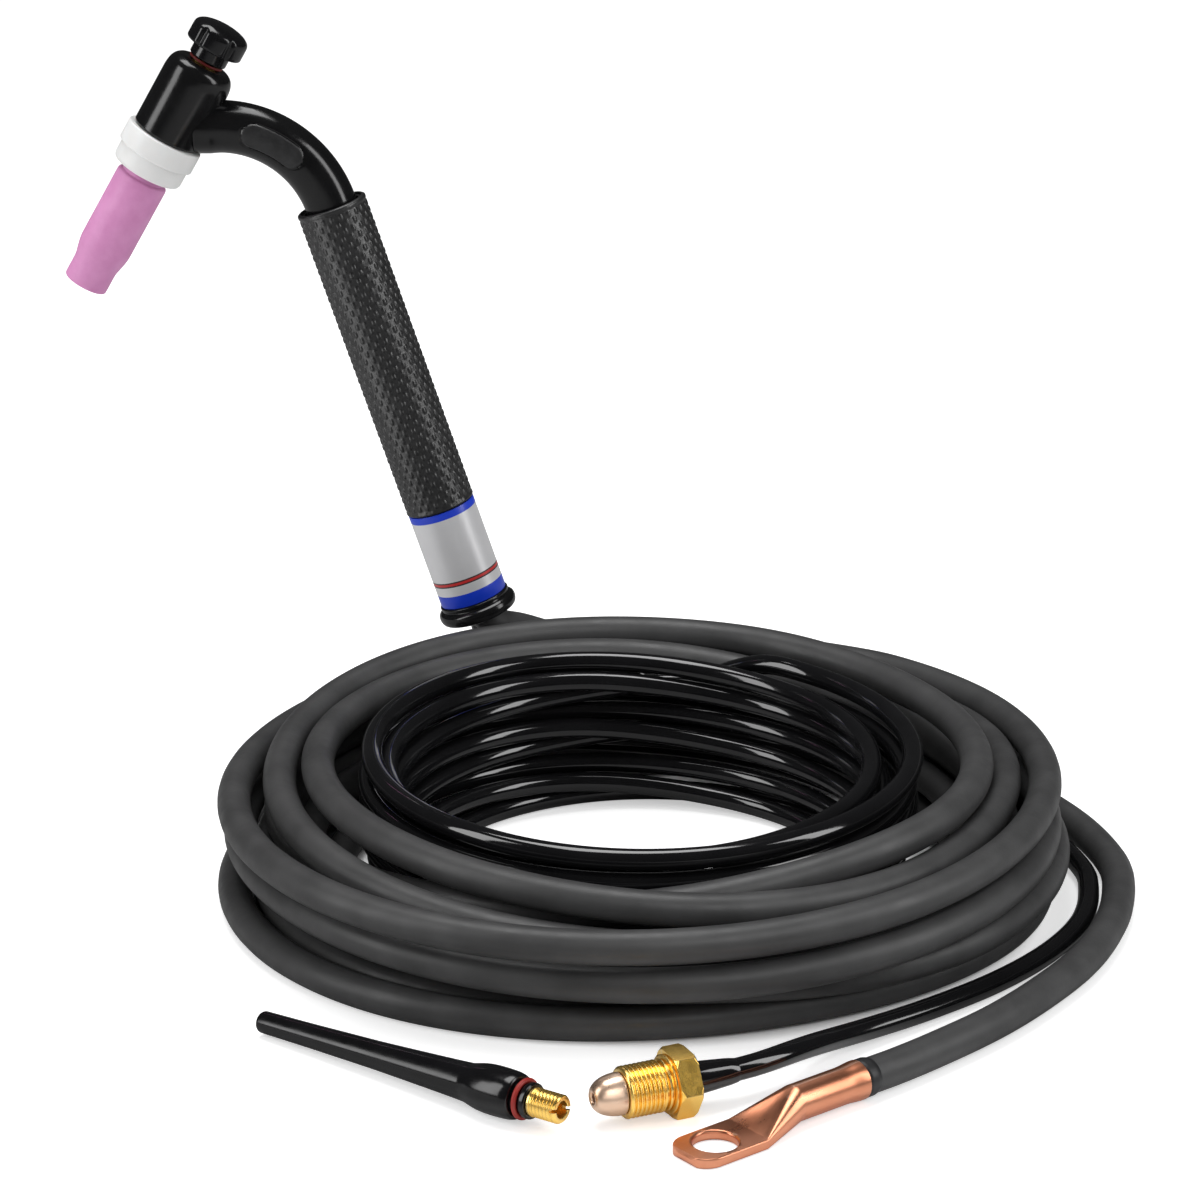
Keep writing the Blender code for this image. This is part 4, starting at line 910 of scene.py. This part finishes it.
def make_lug():
    rings = [lug_ring(x) for x in LUG_STATIONS]
    # a slight hollow in the upper face where tongue turns into tube
    for x, ring in zip(LUG_STATIONS, rings):
        t = (x - TONGUE_END) / (TUBE_START - TONGUE_END)
        if 0 < t < 1:
            half = max((TONGUE_HALF_WIDTH - TONGUE_CORNER) * (1 - t), 1e-6) * MM
            upper = ring[:, 2] > ring[:, 2].max() - 0.00045
            dip = (0.00055 * math.sin(math.pi * min(1.0, t * 1.15))
                   * np.clip(1 - (ring[:, 1] / half) ** 2, 0, 1))
            ring[upper, 2] -= dip[upper]
    # the tube's end turns inwards: scale of the last ring, shift along x
    last = rings[-1]
    centre = last.mean(0)
    for scale, shift in LUG_MOUTH:
        ring = centre + (last - centre) * scale
        ring[:, 0] = last[:, 0] + shift * MM
        rings.append(ring)
    lug = mesh_from_rings("lug_body", rings, start_cap=(0.0, 0, TONGUE_Z * MM),
                          end_cap=tuple(rings[-1].mean(0)), matrix=LUG, sharp=28)
    apply_cut(lug, lathe("hole_cutter", LUG_HOLE,
                         LUG @ Matrix.Translation((LUG_HOLE_X, 0, 0))))
    return place(lug, "base", "copper", "cable_lug", COPPER_LOOK)


lug = make_lug()
collar = lathe("lug_boot", LUG_COLLAR, LUG_AXIS, 80, sharp=50)
place(collar, "base", "moulded_cover", "lug_collar", PLASTIC_LOOK)

# ============================================================ spare long back cap
CAP_STRETCH = 1.04              # applied to every z below
LONG_CAP = [
    (0, 0.0), (2.9, 0.0, 0.5), (3.45, 0.75, 0.7), (3.52, 6.0, 2.0), (3.75, 20.0, 3.0),
    (4.35, 45.0, 4.0), (5.05, 62.0, 4.0), (5.55, 73.0, 3.0), (5.9, 79.4, 1.5),
    (6.35, 81.2, 1.0), (7.05, 84.2, 1.4), (7.36, 87.4, 1.4), (7.38, 92.0, 1.5),
    (7.2, 95.4, 0.8), (6.75, 97.2, 0.5), (6.0, 97.5, 0.2), (4.75, 97.5, 0.15), (4.75, 100.55),
    (5.3, 100.6, 0.1), (5.45, 101.0, 0.2), (5.45, 102.3, 0.25), (5.1, 102.6, 0.15),
    (3.1, 102.6), (3.1, 84.0), (0, 84.0)]
INSERT_PITCH = 1.25
INSERT_END = 112.6
INSERT = (
    [(2.8, 88.0), (2.8, 102.75), (4.3, 102.75), (4.45, 102.9), (4.45, 103.6), (4.2, 103.75),
     (4.2, 104.0), (4.4, 104.15)]
    + [(4.4, float(z)) for z in np.arange(104.3, 112.0, INSERT_PITCH / 12)]
    + [(4.25, 112.1), (3.95, 112.5), (3.7, INSERT_END), (2.75, INSERT_END), (2.6, 112.4),
       (2.6, 104.5), (1.5, 103.5), (1.5, 88.0)])


def stretched(profile):
    return [(r, z * CAP_STRETCH, *fillet) for r, z, *fillet in profile]


def insert_shape(angles, r, z):
    z = z / CAP_STRETCH
    if 3.9 < r < 4.5 and z > 103.3:
        fade = smoothstep(104.0, 104.9, z) * (1 - smoothstep(111.2, 112.0, z))
        return r - 0.60 * fade * thread_depth(z, angles, INSERT_PITCH)
    return r


long_cap = lathe("spare_cap_shell", stretched(LONG_CAP), CAP, 112, steps=6)
place(long_cap, "spare_cap", "moulded_cover", "long_back_cap", BACK_CAP_LOOK)
long_seal = torus("spare_cap_seal", radius=5.55, minor=0.80, z=99.4 * CAP_STRETCH, matrix=CAP)
place(long_seal, "spare_cap", "seal_red", "long_cap_oring", SEAL_LOOK)
insert = lathe("spare_cap_insert", stretched(INSERT), CAP, 128, shape=insert_shape, sharp=32,
               steps=2)
soften(insert, CAP, 104.1 * CAP_STRETCH, 111.9 * CAP_STRETCH)
# slot across the insert's end
apply_cut(insert, block("slot_cutter", (0.0011, 0.012, 0.0040),
                        CAP @ Matrix.Rotation(math.radians(78), 4, "Z")
                        @ Matrix.Translation((0, 0, INSERT_END * MM * CAP_STRETCH))))
place(insert, "spare_cap", "brass", "long_cap_insert", BRASS_LOOK)

# ============================================================ CAD parts that keep their shape
KEPT_PARTS = {
    "handle_tube": PLASTIC_LOOK, "neck_tube_front": COPPER_LOOK,
    "neck_tube_rear": COPPER_LOOK, "torch_body": BRASS_LOOK, "collet_body": BRASS_LOOK,
    "collet": COPPER_LOOK, "tungsten_electrode": TUNGSTEN_LOOK, "conductor": COPPER_LOOK,
    "power_connector": BRASS_LOOK, "crimp_ferrule": COPPER_LOOK, "gas_barb": BRASS_LOOK,
    "cap_insert": BRASS_LOOK}
for node_name, look in KEPT_PARTS.items():
    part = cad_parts[node_name]
    if not part.material_slots:
        part.data.materials.append(look)
    for slot in part.material_slots:
        slot.material = look


# ============================================================ floor
GLOW = 0.50                     # floor emission seen by the camera
SHADOW_REACH = 0.2              # metres from the coil's middle at which the ramp reads 1
SHADOW_SQUEEZE = 0.93           # along x
FITTINGS = (O.x + 0.035, O.y - 0.17, 0)


def floor_material():
    material = surface("floor_look", base=(0.90, 0.90, 0.90), rough=0.75,
                       tint=(0.92, 0.92, 0.92), tint_scale=2.0, tint_amount=0.4, spec=0.15)
    tree = material.node_tree
    shader = tree.nodes["Principled BSDF"]
    rays = add_node(tree, "LightPath").outputs
    camera_glow = remap(tree, rays["Is Camera Ray"], result=(0.0, GLOW))
    # in a ring under the coil the glow stops, so the floor keeps its shadow
    position = add_node(tree, "NewGeometry").outputs["Position"]
    offset = add_node(tree, "VectorMath", {0: position, 1: (O.x, O.y + COIL_Y, 0)},
                      operation="SUBTRACT").outputs["Vector"]
    scale = (SHADOW_SQUEEZE / SHADOW_REACH, 1 / SHADOW_REACH, 0)
    scaled = add_node(tree, "VectorMath", {0: offset, 1: scale},
                      operation="MULTIPLY").outputs["Vector"]
    distance = add_node(tree, "VectorMath", {0: scaled}, operation="LENGTH").outputs["Value"]
    ring = add_node(tree, "ValToRGB", {"Fac": distance})
    stops = ring.color_ramp.elements
    for stop, position_on_ramp in zip(stops, (0.42, 0.64)):
        stop.position = position_on_ramp
        stop.color = (1, 1, 1, 1)
    for position_on_ramp in (0.47, 0.60):
        stops.new(position_on_ramp).color = (0, 0, 0, 1)
    glow = add_node(tree, "Math", {0: ring.outputs["Color"], 1: camera_glow},
                    operation="MULTIPLY").outputs["Value"]
    # reflections see a grey floor, except close to the metal fittings
    away = add_node(tree, "VectorMath", {0: position, 1: FITTINGS},
                    operation="DISTANCE").outputs["Value"]
    far = remap(tree, away, source=(0.06, 0.10))
    grey = add_node(tree, "Math", {0: far, 1: rays["Is Glossy Ray"]},
                    operation="MULTIPLY").outputs["Value"]
    plain = shader.inputs["Base Color"].links[0].from_socket
    feed(tree, shader, {"Emission Strength": glow, "Emission Color": (1, 1, 1, 1),
                        "Base Color": mix_colour(tree, grey, plain, (0.34, 0.34, 0.34, 1))})
    return material


floor_mesh = bpy.data.meshes.new("floor")
floor_mesh.from_pydata([(-6, -4, 0), (6, -4, 0), (6, 9, 0), (-6, 9, 0)], [], [(0, 1, 2, 3)])
floor = bpy.data.objects.new("floor", floor_mesh)
bpy.context.scene.collection.objects.link(floor)
floor_mesh.materials.append(floor_material())


# ============================================================ lights
def softbox(name, spot, target, width, height, power):
    """Rectangular light; spot and target are metres from the drawing origin."""
    light = bpy.data.lights.new(name, "AREA")
    light.shape = "RECTANGLE"
    light.size = width
    light.size_y = height
    light.energy = power
    box = bpy.data.objects.new(name, light)
    bpy.context.scene.collection.objects.link(box)
    box.location = Vector(spot) + O
    box.rotation_euler = (Vector(target) - Vector(spot)).to_track_quat("-Z", "Y").to_euler()
    return box


softbox("key_top", spot=(-0.15, 0.35, 1.9), target=(0.0, 0.05, 0.0), width=1.3, height=0.9,
        power=21)
softbox("side_left", spot=(-1.35, -0.45, 0.75), target=(-0.05, 0.05, 0.10), width=0.5,
        height=1.3, power=9)
softbox("side_right", spot=(1.35, -0.35, 0.85), target=(0.0, 0.05, 0.10), width=0.45,
        height=1.3, power=9)
fill = softbox("front_fill", spot=(0.1, -1.6, 1.5), target=(0.0, 0.0, 0.05), width=1.2,
               height=0.6, power=3)
fill.visible_glossy = False

# cards that light only some pieces: name, spot, target, width, height, power, pieces
METAL_AIM = (0.05, -0.14, 0.01)
CABLE_AIM = (0.0, 0.0, 0.04)
GRIP_AIM = (-0.1, 0.1, 0.2)
FITTING = (nipple, nut)
METALS = (nipple, nut, lug, insert)
CARDS = (
    ("metal_front", (0.3, -1.5, 1.25), METAL_AIM, 1.5, 0.9, 12, FITTING),
    ("metal_back", (0.0, 1.7, 0.9), METAL_AIM, 2.2, 0.7, 7, METALS),
    ("metal_low", (0.2, -1.6, 0.45), METAL_AIM, 2.0, 0.6, 5, METALS),
    ("metal_dome", (0.0, -0.1, 2.6), METAL_AIM, 3.6, 3.6, 8, (nipple, nut, insert)),
    ("grip_left", (-0.28, 0.0, 0.08), GRIP_AIM, 0.10, 0.20, 0.16, (grip,)),
    ("cable_front", (0.7, -1.3, 1.3), CABLE_AIM, 0.9, 0.9, 8, (cable,)),
    ("grip_right", (1.4, -0.6, 0.6), GRIP_AIM, 0.45, 1.2, 5, (grip,)),
)
for name, spot, target, width, height, power, pieces in CARDS:
    lit = bpy.data.collections.new(name + "_pieces")
    for piece in pieces:
        lit.objects.link(piece)
    card = softbox(name, spot, target, width, height, power)
    card.light_linking.receiver_collection = lit
    card.visible_camera = False

# ============================================================ world and camera
WORLD_STRENGTH = 0.40
WORLD_IN_REFLECTIONS = 0.03
world = bpy.data.worlds.new("studio")
bpy.context.scene.world = world
world.use_nodes = True
world_tree = world.node_tree
glossy_ray = add_node(world_tree, "LightPath").outputs["Is Glossy Ray"]
strength = remap(world_tree, glossy_ray, result=(WORLD_STRENGTH, WORLD_IN_REFLECTIONS))
feed(world_tree, world_tree.nodes["Background"], {"Color": (1, 1, 1, 1), "Strength": strength})

CAMERA_SPOT = Vector((-0.01258515, -1.15899683, 0.48821613))
CAMERA_DOWN = 18.2              # degrees below level
camera_data = bpy.data.cameras.new("camera")
camera_data.sensor_width = 36.0
camera_data.lens = 112.98
camera_data.clip_end = 60.0
camera = bpy.data.objects.new("camera", camera_data)
bpy.context.scene.collection.objects.link(camera)
camera.location = CAMERA_SPOT + O
camera.rotation_euler = (math.radians(90 - CAMERA_DOWN), 0, 0)
bpy.context.scene.camera = camera
bpy.context.scene.view_settings.view_transform = "Standard"
